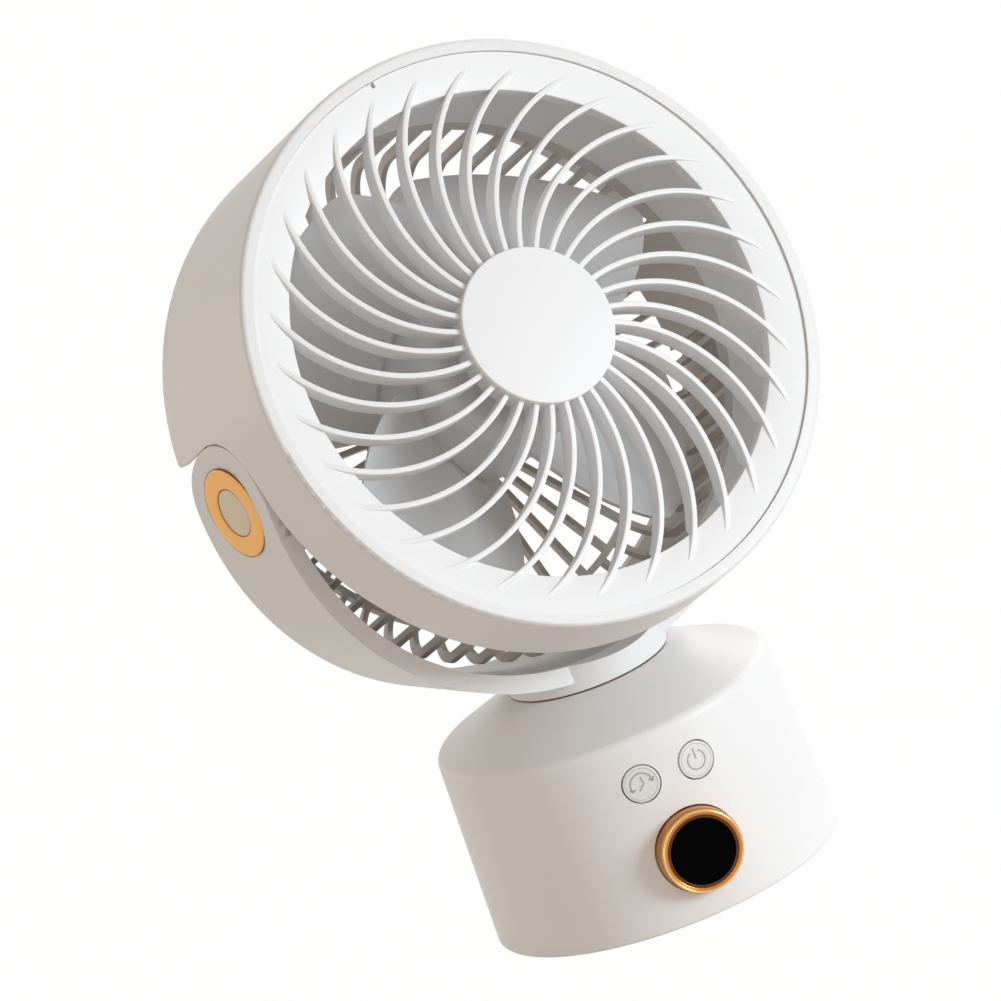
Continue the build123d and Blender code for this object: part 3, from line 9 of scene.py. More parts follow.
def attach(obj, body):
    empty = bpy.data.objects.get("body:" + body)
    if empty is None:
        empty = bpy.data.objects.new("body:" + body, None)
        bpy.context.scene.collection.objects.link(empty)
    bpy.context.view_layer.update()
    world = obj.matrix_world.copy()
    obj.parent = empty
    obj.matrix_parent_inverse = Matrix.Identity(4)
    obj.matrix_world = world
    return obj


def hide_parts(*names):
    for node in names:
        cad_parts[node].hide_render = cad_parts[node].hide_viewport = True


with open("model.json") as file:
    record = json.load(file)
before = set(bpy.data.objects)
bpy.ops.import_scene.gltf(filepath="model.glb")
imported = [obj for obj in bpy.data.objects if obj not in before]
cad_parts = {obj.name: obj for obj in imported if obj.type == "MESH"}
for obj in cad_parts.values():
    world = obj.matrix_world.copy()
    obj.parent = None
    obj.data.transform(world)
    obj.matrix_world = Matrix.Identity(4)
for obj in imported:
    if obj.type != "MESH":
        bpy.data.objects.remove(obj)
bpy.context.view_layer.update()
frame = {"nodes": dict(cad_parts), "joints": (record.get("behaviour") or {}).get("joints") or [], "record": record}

MM = 0.001

# Shading and facets of the meshes
SHARP_ANGLE = 32      # degrees between two faces that keep a hard edge
FIN_SHARP_ANGLE = 45
FLAT_WEIGHT = 90      # how far wide faces outweigh their rounded borders
ROUND_LIMIT = 4       # degrees a face may lean from its cylinder
FACE_RING_TURNS = 240
HUB_RING_TURNS = 120
DISC_TURNS = 160      # of the hub cap and the knob
JOIN_DISTANCE = 0.002 * MM
SAME_RADIUS = 0.01 * MM

# Relief of the finishes
MOULD_RELIEF = 0.05 * MM
LATHE_RELIEF = 0.02 * MM

# Fine lines of painted shadow round the ring and the cap at each pivot, out from the tilt joint, in millimetres
PIVOT_SHADOW_LINES = {"outer": (14.05, 14.42), "inner": (7.6, 7.98)}
PIVOT_LINE_BACK = 92.2
PIVOT_LINE_FACE = 93.38

# Front grille, round the head's axis and forward of the tilt joint, in millimetres
GRILLE_BACK = 41.0
FACE_RING_R = 76.8
FACE_RING_FRONT = 45.7
FACE_RIM_R = 88.8
FACE_RIM_FRONT = 46.5
FACE_RIM_BACK = 43.5
SKIRT_R = 78.6
HUB_RING_R = 24.2
HUB_RING_IN_R = 22.4
HUB_RING_BACK = 42.2
HUB_RING_FRONT = 50.3
HUB_CAP_R = 24.65
HUB_CAP_STEM_R = 22.2
HUB_CAP_BACK = 47.5
HUB_CAP_STEP = 50.4
HUB_CAP_EDGE = 52.1
HUB_CAP_MIDDLE = 51.9

# Fins: the arc that each follows, as radius and degrees round the axis, and how it ends
FIN_ROOT = (23.3, 0)
FIN_MIDDLE = (52.0, -10.4)
FIN_TIP = (84.4, -31.2)
FIN_STEPS = 40
FADE_START = 0.84
FADE_WIDTH = 0.12
FIN_BLOCK = 2.0       # height of the section before its front and back are set
RING_INSIDE = 1.2     # over which a fin's back steps up onto the face ring

# Knob, round its own axis and out from the base's axis, in millimetres
KNOB_BORE_R = 10.4
KNOB_FLANGE_R = 15.4
KNOB_R = 13.2
KNOB_BACK = 47.4
KNOB_FLANGE_FRONT = 48.8
KNOB_FRONT = 57.7
KNOB_RIM_R = 12.9
KNOB_RIM_IN_R = 12.1
KNOB_RIM_BACK = 57.8
KNOB_RIM_FRONT = 59.2
BEVEL_R = 12.15
BEVEL_STEP_R = 11.3
BEVEL_IN_R = 10.36
BEVEL_BACK = 58.0
SEAT_IN_R = 13.32
SEAT_R = 13.58
SEAT_BACK = 48.9
SEAT_FRONT = 52.4

# Washer under the neck
WASHER_BORE_R = 11.4
WASHER_R = 25.2
WASHER_FOOT = 72.2
WASHER_TOP = 72.74

# Latch at the top of the face ring: a notch drawn as a grey stroke of painted shade, and a tab beside it
LATCH_R = 88.2
LATCH_ANGLE = 91.5
LATCH_FACE = 46.42
NOTCH_WIDTH = 1.1
NOTCH_HEIGHT = 0.12
TAB_WIDTH = 0.5
TAB_HEIGHT = 1.05

# Push buttons, and the strokes of their signs
BUTTON_Z = 47.1
SIGN_SINK = 0.02
SIGN_WIDTH = 0.5
SIGN_HEIGHT = 0.09
GROOVE_R = 4.95
GROOVE_WIDTH = 0.14
GROOVE_HEIGHT = 0.05

# Camera: the photograph's long lens, from the front left and above, rolled to the side
AZIMUTH = math.radians(-12.44)
ELEVATION = math.radians(14.93)
ROLL = math.radians(20.78)
DISTANCE = 3.6127
FOCAL_PIXELS = 11944.9
PICTURE_PIXELS = 1001
SENSOR = 36.0
FAR_CLIP = 50
AIM_ACROSS = -7.0 * MM
AIM_HEIGHT = 130.71 * MM

# Studio, in metres and watts: name, place, size, energy and colour of each lamp
LAMP_AIM = Vector((0, 0, 0.13))
LAMPS = (
    ("key_light", (1.6, -1.5, 0.45), 0.9, 30, (0.84, 0.93, 1.0)),
    ("back_light", (1.4, 1.5, 0.9), 0.9, 11, (1.0, 0.96, 0.94)),
    ("fill_light", (-0.5, -2.2, 0.9), 1.2, 2.4, (1.0, 0.82, 0.76)),
    ("left_light", (-2.1, -0.6, 0.5), 1.0, 2.8, (1.0, 0.86, 0.6)),
    ("rim_light", (-1.2, 1.6, 0.3), 0.8, 2.0, (1.0, 0.78, 0.62)),
)
WHITE = (1, 1, 1, 1)
AMBIENT = (1.0, 0.9, 0.82, 1)
AMBIENT_STRENGTH = 0.425
FLOOR_SIZE = 12
FLOOR_TONE = (0.8, 0.76, 0.72, 1)
FLOOR_GLOW = 1.02
FLOOR_WHITE_SHARE = 0.96

# Frames: the base stands at the origin, the yoke and the head hang on the tilt joint
JOINTS = {joint["name"]: joint for joint in frame["joints"]}
PIVOT = Vector(JOINTS["tilt"]["pos_m"])
FORWARD = Vector(JOINTS["blade_spin"]["axis"]).normalized()
ACROSS = -Vector(JOINTS["tilt"]["axis"]).normalized()
WORLD_UP = Vector((0, 0, 1))


def frame_at(origin, across, forward):
    """Matrix of a frame whose X runs across, Y up and Z forward, out of its own front."""
    up = forward.cross(across)
    return Matrix.Translation(origin) @ Matrix((across, up, forward)).transposed().to_4x4()


HEAD = frame_at(PIVOT, ACROSS, FORWARD)
YOKE = frame_at(PIVOT, ACROSS, ACROSS.cross(WORLD_UP))
LEFT_PIVOT = frame_at(PIVOT, ACROSS.cross(WORLD_UP), -ACROSS)
BASE = Matrix.Identity(4)
KNOB_AXIS = Vector(JOINTS["knob_turn"]["axis"])
KNOB = frame_at(WORLD_UP * JOINTS["knob_turn"]["pos_m"][2], WORLD_UP.cross(KNOB_AXIS), KNOB_AXIS)


def button_frame(press, distance=0.0):
    """Frame of a push button: square to the base's curved wall, at a distance from the base's axis."""
    out = -Vector(JOINTS[press]["axis"]).normalized()
    return frame_at(out * distance + WORLD_UP * BUTTON_Z * MM, WORLD_UP.cross(out), out)


LEFT_BUTTON = button_frame("swing_press")
RIGHT_BUTTON = button_frame("power_press")


# Shader groups


def new_group(name, inputs, outputs):
    """Empty shader group with its named sockets, and its input and output nodes."""
    group = bpy.data.node_groups.new(name, "ShaderNodeTree")
    for socket, kind, value in inputs:
        made = group.interface.new_socket(socket, in_out="INPUT", socket_type="NodeSocket" + kind)
        if value is not None:
            made.default_value = value
    for socket, kind in outputs:
        group.interface.new_socket(socket, in_out="OUTPUT", socket_type="NodeSocket" + kind)
    return group, group.nodes.new("NodeGroupInput"), group.nodes.new("NodeGroupOutput")


def add_node(tree, kind, inputs=(), **settings):
    """Adds a node, sets its properties and fills its inputs with values or links."""
    node = tree.nodes.new(kind)
    for key, value in settings.items():
        setattr(node, key, value)
    for key, value in dict(inputs).items():
        if isinstance(value, bpy.types.NodeSocket):
            tree.links.new(value, node.inputs[key])
        else:
            node.inputs[key].default_value = value
    return node


def moulded_surface_group():
    """Injection-moulded plastic: faint clouding of the tone and a fine spark-eroded grain."""
    group, start, end = new_group(
        "moulded_surface",
        [("Position", "Vector", None), ("Tone", "Color", None), ("Cloud Tone", "Color", None),
         ("Cloud Scale", "Float", 9.0), ("Grain Scale", "Float", 1500.0),
         ("Smooth Roughness", "Float", 0.38), ("Grain Roughness", "Float", 0.5)],
        [("Color", "Color"), ("Roughness", "Float"), ("Height", "Float")])
    cloud = add_node(group, "ShaderNodeTexNoise", {
        "Vector": start.outputs["Position"], "Scale": start.outputs["Cloud Scale"], "Detail": 3.0})
    grain = add_node(group, "ShaderNodeTexNoise", {
        "Vector": start.outputs["Position"], "Scale": start.outputs["Grain Scale"], "Detail": 2.0})
    tone = add_node(group, "ShaderNodeMix", {
        0: cloud.outputs["Fac"], 6: start.outputs["Tone"], 7: start.outputs["Cloud Tone"]}, data_type="RGBA")
    rough = add_node(group, "ShaderNodeMapRange", {
        "Value": grain.outputs["Fac"], "From Min": 0.35, "From Max": 0.65,
        "To Min": start.outputs["Smooth Roughness"], "To Max": start.outputs["Grain Roughness"]})
    group.links.new(tone.outputs[2], end.inputs["Color"])
    group.links.new(rough.outputs["Result"], end.inputs["Roughness"])
    group.links.new(grain.outputs["Fac"], end.inputs["Height"])
    return group


def turned_surface_group():
    """Metal or plastic turned on a lathe: fine rings round the Z axis of the position."""
    group, start, end = new_group(
        "turned_surface",
        [("Position", "Vector", None), ("Tone", "Color", None), ("Ring Tone", "Color", None),
         ("Ring Scale", "Float", 2500.0), ("Polished Roughness", "Float", 0.12),
         ("Ring Roughness", "Float", 0.26)],
        [("Color", "Color"), ("Roughness", "Float"), ("Height", "Float")])
    flat = add_node(group, "ShaderNodeVectorMath", {
        0: start.outputs["Position"], 1: (1.0, 1.0, 0.0)}, operation="MULTIPLY")
    radius = add_node(group, "ShaderNodeVectorMath", {0: flat.outputs["Vector"]}, operation="LENGTH")
    rings = add_node(group, "ShaderNodeTexNoise", {
        "W": radius.outputs["Value"], "Scale": start.outputs["Ring Scale"], "Detail": 2.0},
        noise_dimensions="1D")
    tone = add_node(group, "ShaderNodeMix", {
        0: rings.outputs["Fac"], 6: start.outputs["Tone"], 7: start.outputs["Ring Tone"]}, data_type="RGBA")
    rough = add_node(group, "ShaderNodeMapRange", {
        "Value": rings.outputs["Fac"], "From Min": 0.3, "From Max": 0.7,
        "To Min": start.outputs["Polished Roughness"], "To Max": start.outputs["Ring Roughness"]})
    group.links.new(tone.outputs[2], end.inputs["Color"])
    group.links.new(rough.outputs["Result"], end.inputs["Roughness"])
    group.links.new(rings.outputs["Fac"], end.inputs["Height"])
    return group


MOULDED = moulded_surface_group()
TURNED = turned_surface_group()


# Materials


def srgb(red, green, blue):
    """Colour picked as 0 to 255, as the shader wants it."""
    def linear(value):
        value /= 255
        return value / 12.92 if value <= 0.04045 else ((value + 0.055) / 1.055) ** 2.4
    return (linear(red), linear(green), linear(blue), 1.0)


def new_material(name, **values):
    """Principled material with plain values on its own sockets, and its object position."""
    material = bpy.data.materials.new(name)
    material.use_nodes = True
    tree = material.node_tree
    shader = tree.nodes["Principled BSDF"]
    for socket, value in values.items():
        shader.inputs[socket.replace("_", " ")].default_value = value
    place = add_node(tree, "ShaderNodeTexCoord")
    return material, tree, shader, place.outputs["Object"]


def dress(tree, shader, surface, bump, depth):
    """Feeds a surface group's colour, roughness and height into the shader."""
    tree.links.new(surface.outputs["Color"], shader.inputs["Base Color"])
    tree.links.new(surface.outputs["Roughness"], shader.inputs["Roughness"])
    relief = add_node(tree, "ShaderNodeBump", {
        "Height": surface.outputs["Height"], "Strength": bump, "Distance": depth})
    tree.links.new(relief.outputs["Normal"], shader.inputs["Normal"])


def moulded(name, tone, cloud, smooth=0.38, grainy=0.5, bump=0.12, grain=1500.0, **values):
    """Moulded plastic or rubber in two close tones."""
    material, tree, shader, place = new_material(name, **values)
    surface = add_node(tree, "ShaderNodeGroup", node_tree=MOULDED)
    tree.links.new(place, surface.inputs["Position"])
    surface.inputs["Tone"].default_value = srgb(*tone)
    surface.inputs["Cloud Tone"].default_value = srgb(*cloud)
    surface.inputs["Grain Scale"].default_value = grain
    surface.inputs["Smooth Roughness"].default_value = smooth
    surface.inputs["Grain Roughness"].default_value = grainy
    dress(tree, shader, surface, bump, MOULD_RELIEF)
    return material


def turned_metal(name, tone, ring, turned_in, polished=0.12, worn=0.26, bump=0.05, metallic=1.0):
    """Metal or metal paint turned round the Z axis of a frame."""
    material, tree, shader, place = new_material(name, Metallic=metallic)
    turn = turned_in.inverted()
    centred = add_node(tree, "ShaderNodeMapping", {
        "Vector": place, "Location": turn.translation, "Rotation": turn.to_euler()})
    surface = add_node(tree, "ShaderNodeGroup", node_tree=TURNED)
    tree.links.new(centred.outputs["Vector"], surface.inputs["Position"])
    surface.inputs["Tone"].default_value = srgb(*tone)
    surface.inputs["Ring Tone"].default_value = srgb(*ring)
    surface.inputs["Polished Roughness"].default_value = polished
    surface.inputs["Ring Roughness"].default_value = worn
    dress(tree, shader, surface, bump, LATHE_RELIEF)
    return material


# Moulded slots: tone and cloud tone, then what differs from plain housing plastic
PLASTICS = {
    "base_plastic": ((245, 245, 245), (241, 241, 240), {}),
    "dark_rubber": ((52, 52, 53), (40, 40, 41),
                    {"smooth": 0.7, "grainy": 0.85, "bump": 0.4, "grain": 900.0}),
    "cover_plastic": ((224, 223, 220), (217, 216, 213), {}),
    "cell_wrap": ((70, 118, 176), (62, 108, 165), {"smooth": 0.2, "grainy": 0.3}),
    "inner_plastic": ((58, 58, 60), (50, 50, 52), {}),
    "circuit_board": ((26, 84, 52), (20, 70, 44), {"smooth": 0.3, "grainy": 0.4}),
    "socket_steel": ((182, 183, 185), (168, 169, 172), {"smooth": 0.25, "grainy": 0.35, "Metallic": 1.0}),
    "display_black": ((5, 5, 6), (3, 3, 4),
                      {"smooth": 0.1, "grainy": 0.16, "bump": 0.0, "Specular_IOR_Level": 0.01}),
    "button_plastic": ((239, 239, 239), (235, 235, 234), {}),
    "acetal": ((206, 206, 200), (198, 198, 192), {"smooth": 0.3, "grainy": 0.4}),
    "yoke_plastic": ((239, 239, 239), (235, 235, 234), {}),
    "cap_plastic": ((240, 226, 202), (234, 219, 194), {}),
    "shell_plastic": ((239, 239, 239), (235, 235, 234), {}),
    "grille_plastic": ((243, 243, 244), (240, 240, 240), {}),
    # Rear grille: the white plastic darkened as painted shade, for its place inside the drum
    "rear_plastic": ((204, 199, 194), (197, 192, 187), {}),
    "coil_copper": ((184, 110, 64), (150, 84, 46),
                    {"smooth": 0.3, "grainy": 0.4, "bump": 0.5, "grain": 400.0, "Metallic": 1.0}),
    "magnet": ((120, 121, 124), (104, 105, 108), {"smooth": 0.3, "grainy": 0.4, "Metallic": 1.0}),
    "blade_plastic": ((232, 232, 232), (226, 226, 226), {}),
}

# Turned slots: tone, ring tone and the frame they turn in, then what differs from polished metal
METALS = {
    "screw_steel": ((176, 176, 178), (150, 150, 153), BASE, {"polished": 0.22, "worn": 0.34}),
    "motor_steel": ((150, 151, 153), (132, 133, 136), BASE, {"polished": 0.3, "worn": 0.42}),
    "knob_copper": ((204, 140, 74), (184, 118, 58), KNOB, {}),
    "shaft_steel": ((186, 186, 188), (160, 160, 163), HEAD, {}),
    "badge_orange": ((240, 178, 92), (237, 174, 88), LEFT_PIVOT,
                     {"polished": 0.3, "worn": 0.36, "metallic": 0.55}),
}

MATERIALS = {}
for slot, (tone, cloud, finish) in PLASTICS.items():
    MATERIALS[slot] = moulded(slot, tone, cloud, **finish)
for slot, (tone, ring, turned_in, finish) in METALS.items():
    MATERIALS[slot] = turned_metal(slot, tone, ring, turned_in, **finish)

# Knob rim: a brighter copy of the copper as painted highlight; inner bevel: a dark brown copy as painted shade and
# dark reflection
RIM_PAINTED_HIGHLIGHT = turned_metal("rim_painted_highlight", (238, 196, 140), (222, 172, 112), KNOB, 0.1, 0.2)
BEVEL_PAINTED_SHADE = turned_metal("bevel_painted_shade", (112, 66, 44), (84, 46, 30), KNOB, 0.14, 0.24)
# Grey of the button signs, and of their grooves, where it is painted shade
SIGN_GREY_AND_GROOVE_SHADE = moulded("sign_grey_and_groove_shade", (182, 180, 178), (176, 174, 172))
# Grey of the latch notch: painted shade
NOTCH_PAINTED_SHADE = moulded("notch_painted_shade", (150, 147, 144), (140, 137, 134))
# Dark brown of the washer line under the neck: painted shade
GAP_PAINTED_SHADE = moulded("gap_painted_shade", (96, 72, 58), (84, 62, 50), 0.6, 0.7)
# Brown of the fine lines round the pivots: painted shadow
PAINTED_SHADOW_LINE = moulded("painted_shadow_line", (132, 90, 54), (120, 80, 48), 0.5, 0.6)
# Darker grey of the yoke's inner wall: painted shade
INNER_WALL_PAINTED_SHADE = moulded("inner_wall_painted_shade", (196, 192, 187), (190, 186, 181))

for part in frame["record"]["subparts"]:
    mesh = frame["nodes"][part["node"]].data
    mesh.materials.clear()
    mesh.materials.append(MATERIALS[part["material_slot"]])


# Pieces


def new_piece(name, mesh, body, slot, *replaced, material=None, sharp=SHARP_ANGLE):
    """Puts a finished mesh into the scene, smooth up to its sharp edges, on its body."""
    piece = bpy.data.objects.new(name, mesh)
    bpy.context.scene.collection.objects.link(piece)
    mesh.materials.clear()
    mesh.materials.append(material or MATERIALS[slot])
    if sharp:
        mesh.shade_smooth()
        mesh.set_sharp_from_angle(angle=math.radians(sharp))
    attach(piece, body)
    if replaced:
        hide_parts(*replaced)
    return piece


def evenly_shaded(mesh):
    """Mesh whose flat faces keep their own direction, so that only their rounded borders shade smooth."""
    mesh.shade_smooth()
    mesh.set_sharp_from_angle(angle=math.radians(SHARP_ANGLE))
    holder = bpy.data.objects.new("shading", mesh)
    bpy.context.scene.collection.objects.link(holder)
    weights = holder.modifiers.new("weights", "WEIGHTED_NORMAL")
    weights.keep_sharp = True
    weights.weight = FLAT_WEIGHT
    result = bpy.data.meshes.new_from_object(holder.evaluated_get(bpy.context.evaluated_depsgraph_get()))
    bpy.data.objects.remove(holder)
    return result


def round_shading(mesh, places):
    """Gives faces that lie on a cylinder round a frame's axis that cylinder's own directions."""
    directions = [Vector(corner.vector) for corner in mesh.corner_normals]
    least = math.cos(math.radians(ROUND_LIMIT))
    for place in places:
        out_of = place.inverted()
        for face in mesh.polygons:
            facing = out_of.to_3x3() @ face.normal
            rays = [Vector((*(out_of @ mesh.vertices[k].co).xy, 0)) for k in face.vertices]
            reach = [ray.length for ray in rays]
            if max(reach) - min(reach) > SAME_RADIUS or min(reach) < MM:
                continue
            if min(abs(facing.dot(ray.normalized())) for ray in rays) < least:
                continue
            for corner, ray in zip(face.loop_indices, rays):
                turned_out = ray.normalized() * math.copysign(1, facing.dot(ray))
                directions[corner] = place.to_3x3() @ turned_out
    mesh.normals_split_custom_set(directions)


def joined_copy(node, body, slot, round_about=(), material=None):
    """The CAD node's own shape with its loose triangles joined, so that its curves shade smooth."""
    mesh = frame["nodes"][node].data.copy()
    shell = bmesh.new()
    shell.from_mesh(mesh)
    bmesh.ops.remove_doubles(shell, verts=shell.verts, dist=JOIN_DISTANCE)
    shell.to_mesh(mesh)
    shell.free()
    mesh = evenly_shaded(mesh)
    round_shading(mesh, round_about)
    return new_piece(node + "_smooth", mesh, body, slot, node, material=material, sharp=0)


def rounded(outline, sizes, steps=4):
    """Closed outline with each corner rounded by its own size."""
    points = []
    for k, size in enumerate(sizes):
        corner = Vector(outline[k])
        if not size:
            points.append(corner)
            continue
        before = corner + (Vector(outline[k - 1]) - corner).normalized() * size
        after = corner + (Vector(outline[(k + 1) % len(outline)]) - corner).normalized() * size
        for step in range(steps + 1):
            share = step / steps
            points.append(before * (1 - share) ** 2 + corner * 2 * share * (1 - share) + after * share ** 2)
    return points


def lathe(outline, place, turns=180):
    """Mesh of a closed outline of (radius, height) points in millimetres, turned round a frame's Z axis."""
    turned = bmesh.new()
    rows = []
    for turn in range(turns):
        angle = 2 * math.pi * turn / turns
        rows.append([turned.verts.new((r * math.cos(angle), r * math.sin(angle), z)) for r, z in outline])
    for turn in range(turns):
        here, there = rows[turn - 1], rows[turn]
        for k in range(len(outline)):
            turned.faces.new((here[k - 1], there[k - 1], there[k], here[k]))
    bmesh.ops.remove_doubles(turned, verts=turned.verts, dist=0.0001)
    bmesh.ops.recalc_face_normals(turned, faces=turned.faces)
    mesh = bpy.data.meshes.new("turned")
    turned.to_mesh(mesh)
    turned.free()
    mesh.transform(place @ Matrix.Scale(MM, 4))
    return mesh


def strokes(lines, width, height, place):
    """Mesh of flat raised strokes along lines of (x, y) points in millimetres, on a frame's XY plane."""
    raised = bmesh.new()
    for line in lines:
        rails = []
        for k, point in enumerate(line):
            ahead = Vector(line[min(k + 1, len(line) - 1)]) - Vector(line[max(k - 1, 0)])
            side = Vector((-ahead.y, ahead.x)).normalized() * width / 2
            rails.append([Vector(point) + side, Vector(point) - side])
        corners = [[raised.verts.new((x, y, z)) for x, y in rail for z in (0, height)] for rail in rails]
        for here, there in zip(corners, corners[1:]):
            for a, b in ((0, 1), (1, 3), (3, 2), (2, 0)):
                raised.faces.new((here[a], here[b], there[b], there[a]))
        for end in (corners[0], corners[-1]):
            raised.faces.new((end[0], end[1], end[3], end[2]))
    bmesh.ops.recalc_face_normals(raised, faces=raised.faces)
    mesh = bpy.data.meshes.new("strokes")
    raised.to_mesh(mesh)
    raised.free()
    mesh.transform(place @ Matrix.Scale(MM, 4))
    return mesh


def arc(radius, start, end, steps=24):
    """Points along a circle between two angles in degrees."""
    angles = [math.radians(start + (end - start) * step / steps) for step in range(steps + 1)]
    return [(radius * math.cos(angle), radius * math.sin(angle)) for angle in angles]


def face_reach(node, direction):
    """How far a node's mesh reaches in a direction, in metres."""
    return max(vertex.co.dot(direction) for vertex in frame["nodes"][node].data.vertices)


# Geometry Nodes


def geometry_tree(name, inputs):
    """Empty Geometry Nodes tree with its named sizes, and its input and output nodes."""
    tree = bpy.data.node_groups.new(name, "GeometryNodeTree")
    for socket, kind, value in inputs:
        made = tree.interface.new_socket(socket, in_out="INPUT", socket_type="NodeSocket" + kind)
        if value is not None:
            made.default_value = value
    tree.interface.new_socket("Geometry", in_out="OUTPUT", socket_type="NodeSocketGeometry")
    return tree, tree.nodes.new("NodeGroupInput").outputs, tree.nodes.new("NodeGroupOutput")


def math_node(tree, operation, first, second=0.0):
    """Result of a sum, product or comparison of two values or links."""
    return add_node(tree, "ShaderNodeMath", {0: first, 1: second}, operation=operation).outputs[0]


def ramp(tree, value, low, high, start, end):
    """Value carried in a straight line from start at low to end at high, level outside."""
    return add_node(tree, "ShaderNodeMapRange", {
        "Value": value, "From Min": low, "From Max": high, "To Min": start, "To Max": end}).outputs["Result"]


def spiral_fins_tree():
    """Curved fins round an axis: a rounded strip along an arc, its front and back following the radius."""
    tree, sizes, end = geometry_tree("spiral_fins", [
        ("Fins", "Int", 32), ("Thickness", "Float", 1.7), ("Edge Round", "Float", 0.28),
        ("Root", "Vector", None), ("Middle", "Vector", None), ("Tip", "Vector", None),
        ("Root Radius", "Float", HUB_RING_R), ("Ring Radius", "Float", FACE_RING_R),
        ("Tip Radius", "Float", 84.0), ("Root Front", "Float", 50.2), ("Ring Front", "Float", 46.9),
        ("Tip Front", "Float", 46.1), ("Root Back", "Float", 42.2), ("Ring Back", "Float", 41.2),
        ("Ring Lift", "Float", 3.4), ("Material", "Material", None)])
    spine = add_node(tree, "GeometryNodeCurveArc", {
        "Resolution": FIN_STEPS, "Start": sizes["Root"], "Middle": sizes["Middle"], "End": sizes["Tip"]},
        mode="POINTS")
    along = add_node(tree, "GeometryNodeSplineParameter").outputs["Factor"]
    narrow = ramp(tree, along, FADE_START, 1.0, 1.0, FADE_WIDTH)
    tapered = add_node(tree, "GeometryNodeSetCurveRadius", {
        "Curve": spine.outputs["Curve"], "Radius": narrow})
    level = add_node(tree, "GeometryNodeSetCurveNormal", {"Curve": tapered.outputs["Curve"]}, mode="Z_UP")
    block = add_node(tree, "GeometryNodeCurvePrimitiveQuadrilateral", {
        "Width": sizes["Thickness"], "Height": FIN_BLOCK}, mode="RECTANGLE")
    section = add_node(tree, "GeometryNodeFilletCurve", {
        "Curve": block.outputs["Curve"], "Count": 3, "Radius": sizes["Edge Round"], "Limit Radius": True},
        mode="POLY")
    strip = add_node(tree, "GeometryNodeCurveToMesh", {
        "Curve": level.outputs["Curve"], "Profile Curve": section.outputs["Curve"], "Fill Caps": True})
    place = add_node(tree, "GeometryNodeInputPosition").outputs["Position"]
    parts = add_node(tree, "ShaderNodeSeparateXYZ", {0: place}).outputs
    flat = add_node(tree, "ShaderNodeCombineXYZ", {0: parts["X"], 1: parts["Y"]}).outputs[0]
    radius = add_node(tree, "ShaderNodeVectorMath", {0: flat}, operation="LENGTH").outputs["Value"]
    root, ring, tip = sizes["Root Radius"], sizes["Ring Radius"], sizes["Tip Radius"]
    front = ramp(tree, radius, root, ring, sizes["Root Front"], sizes["Ring Front"])
    dip = math_node(tree, "SUBTRACT", sizes["Tip Front"], sizes["Ring Front"])
    front = math_node(tree, "ADD", front, ramp(tree, radius, ring, tip, 0.0, dip))
    back = ramp(tree, radius, root, ring, sizes["Root Back"], sizes["Ring Back"])
    inside = math_node(tree, "SUBTRACT", ring, RING_INSIDE)
    back = math_node(tree, "ADD", back, ramp(tree, radius, inside, ring, 0.0, sizes["Ring Lift"]))
    upper = math_node(tree, "GREATER_THAN", parts["Z"], 0.0)
    lowered = math_node(tree, "SUBTRACT", front, FIN_BLOCK / 2)
    raised = math_node(tree, "ADD", back, FIN_BLOCK / 2)
    shift = add_node(tree, "ShaderNodeMix", {0: upper, 2: raised, 3: lowered}).outputs[0]
    offset = add_node(tree, "ShaderNodeCombineXYZ", {2: shift}).outputs[0]
    fin = add_node(tree, "GeometryNodeSetPosition", {"Geometry": strip.outputs["Mesh"], "Offset": offset})
    points = add_node(tree, "GeometryNodePoints", {"Count": sizes["Fins"]})
    step = math_node(tree, "DIVIDE", 2 * math.pi, sizes["Fins"])
    turn = math_node(tree, "MULTIPLY", add_node(tree, "GeometryNodeInputIndex").outputs["Index"], step)
    spin = add_node(tree, "ShaderNodeCombineXYZ", {2: turn}).outputs[0]
    rotation = add_node(tree, "FunctionNodeEulerToRotation", {"Euler": spin}).outputs[0]
    fins = add_node(tree, "GeometryNodeInstanceOnPoints", {
        "Points": points.outputs[0], "Instance": fin.outputs["Geometry"], "Rotation": rotation})
    solid = add_node(tree, "GeometryNodeRealizeInstances", {"Geometry": fins.outputs["Instances"]})
    dressed = add_node(tree, "GeometryNodeSetMaterial", {
        "Geometry": solid.outputs["Geometry"], "Material": sizes["Material"]})
    tree.links.new(dressed.outputs["Geometry"], end.inputs["Geometry"])
    return tree


def grown(tree, place, **sizes):
    """Plain mesh of a Geometry Nodes tree, made with the given named sizes in millimetres."""
    holder = bpy.data.objects.new("grown", bpy.data.meshes.new("grown"))
    bpy.context.scene.collection.objects.link(holder)
    modifier = holder.modifiers.new("grown", "NODES")
    modifier.node_group = tree
    sockets = {item.name: item.identifier for item in tree.interface.items_tree if item.in_out == "INPUT"}
    for name, value in sizes.items():
        modifier[sockets[name.replace("_", " ")]] = value
    mesh = bpy.data.meshes.new_from_object(holder.evaluated_get(bpy.context.evaluated_depsgraph_get()))
    holder.modifiers.remove(modifier)
    bpy.data.objects.remove(holder)
    mesh.transform(place @ Matrix.Scale(MM, 4))
    return mesh


def polar(radius, degrees_round):
    """Point on a frame's XY plane, in millimetres."""
    angle = math.radians(degrees_round)
    return (radius * math.cos(angle), radius * math.sin(angle), 0.0)


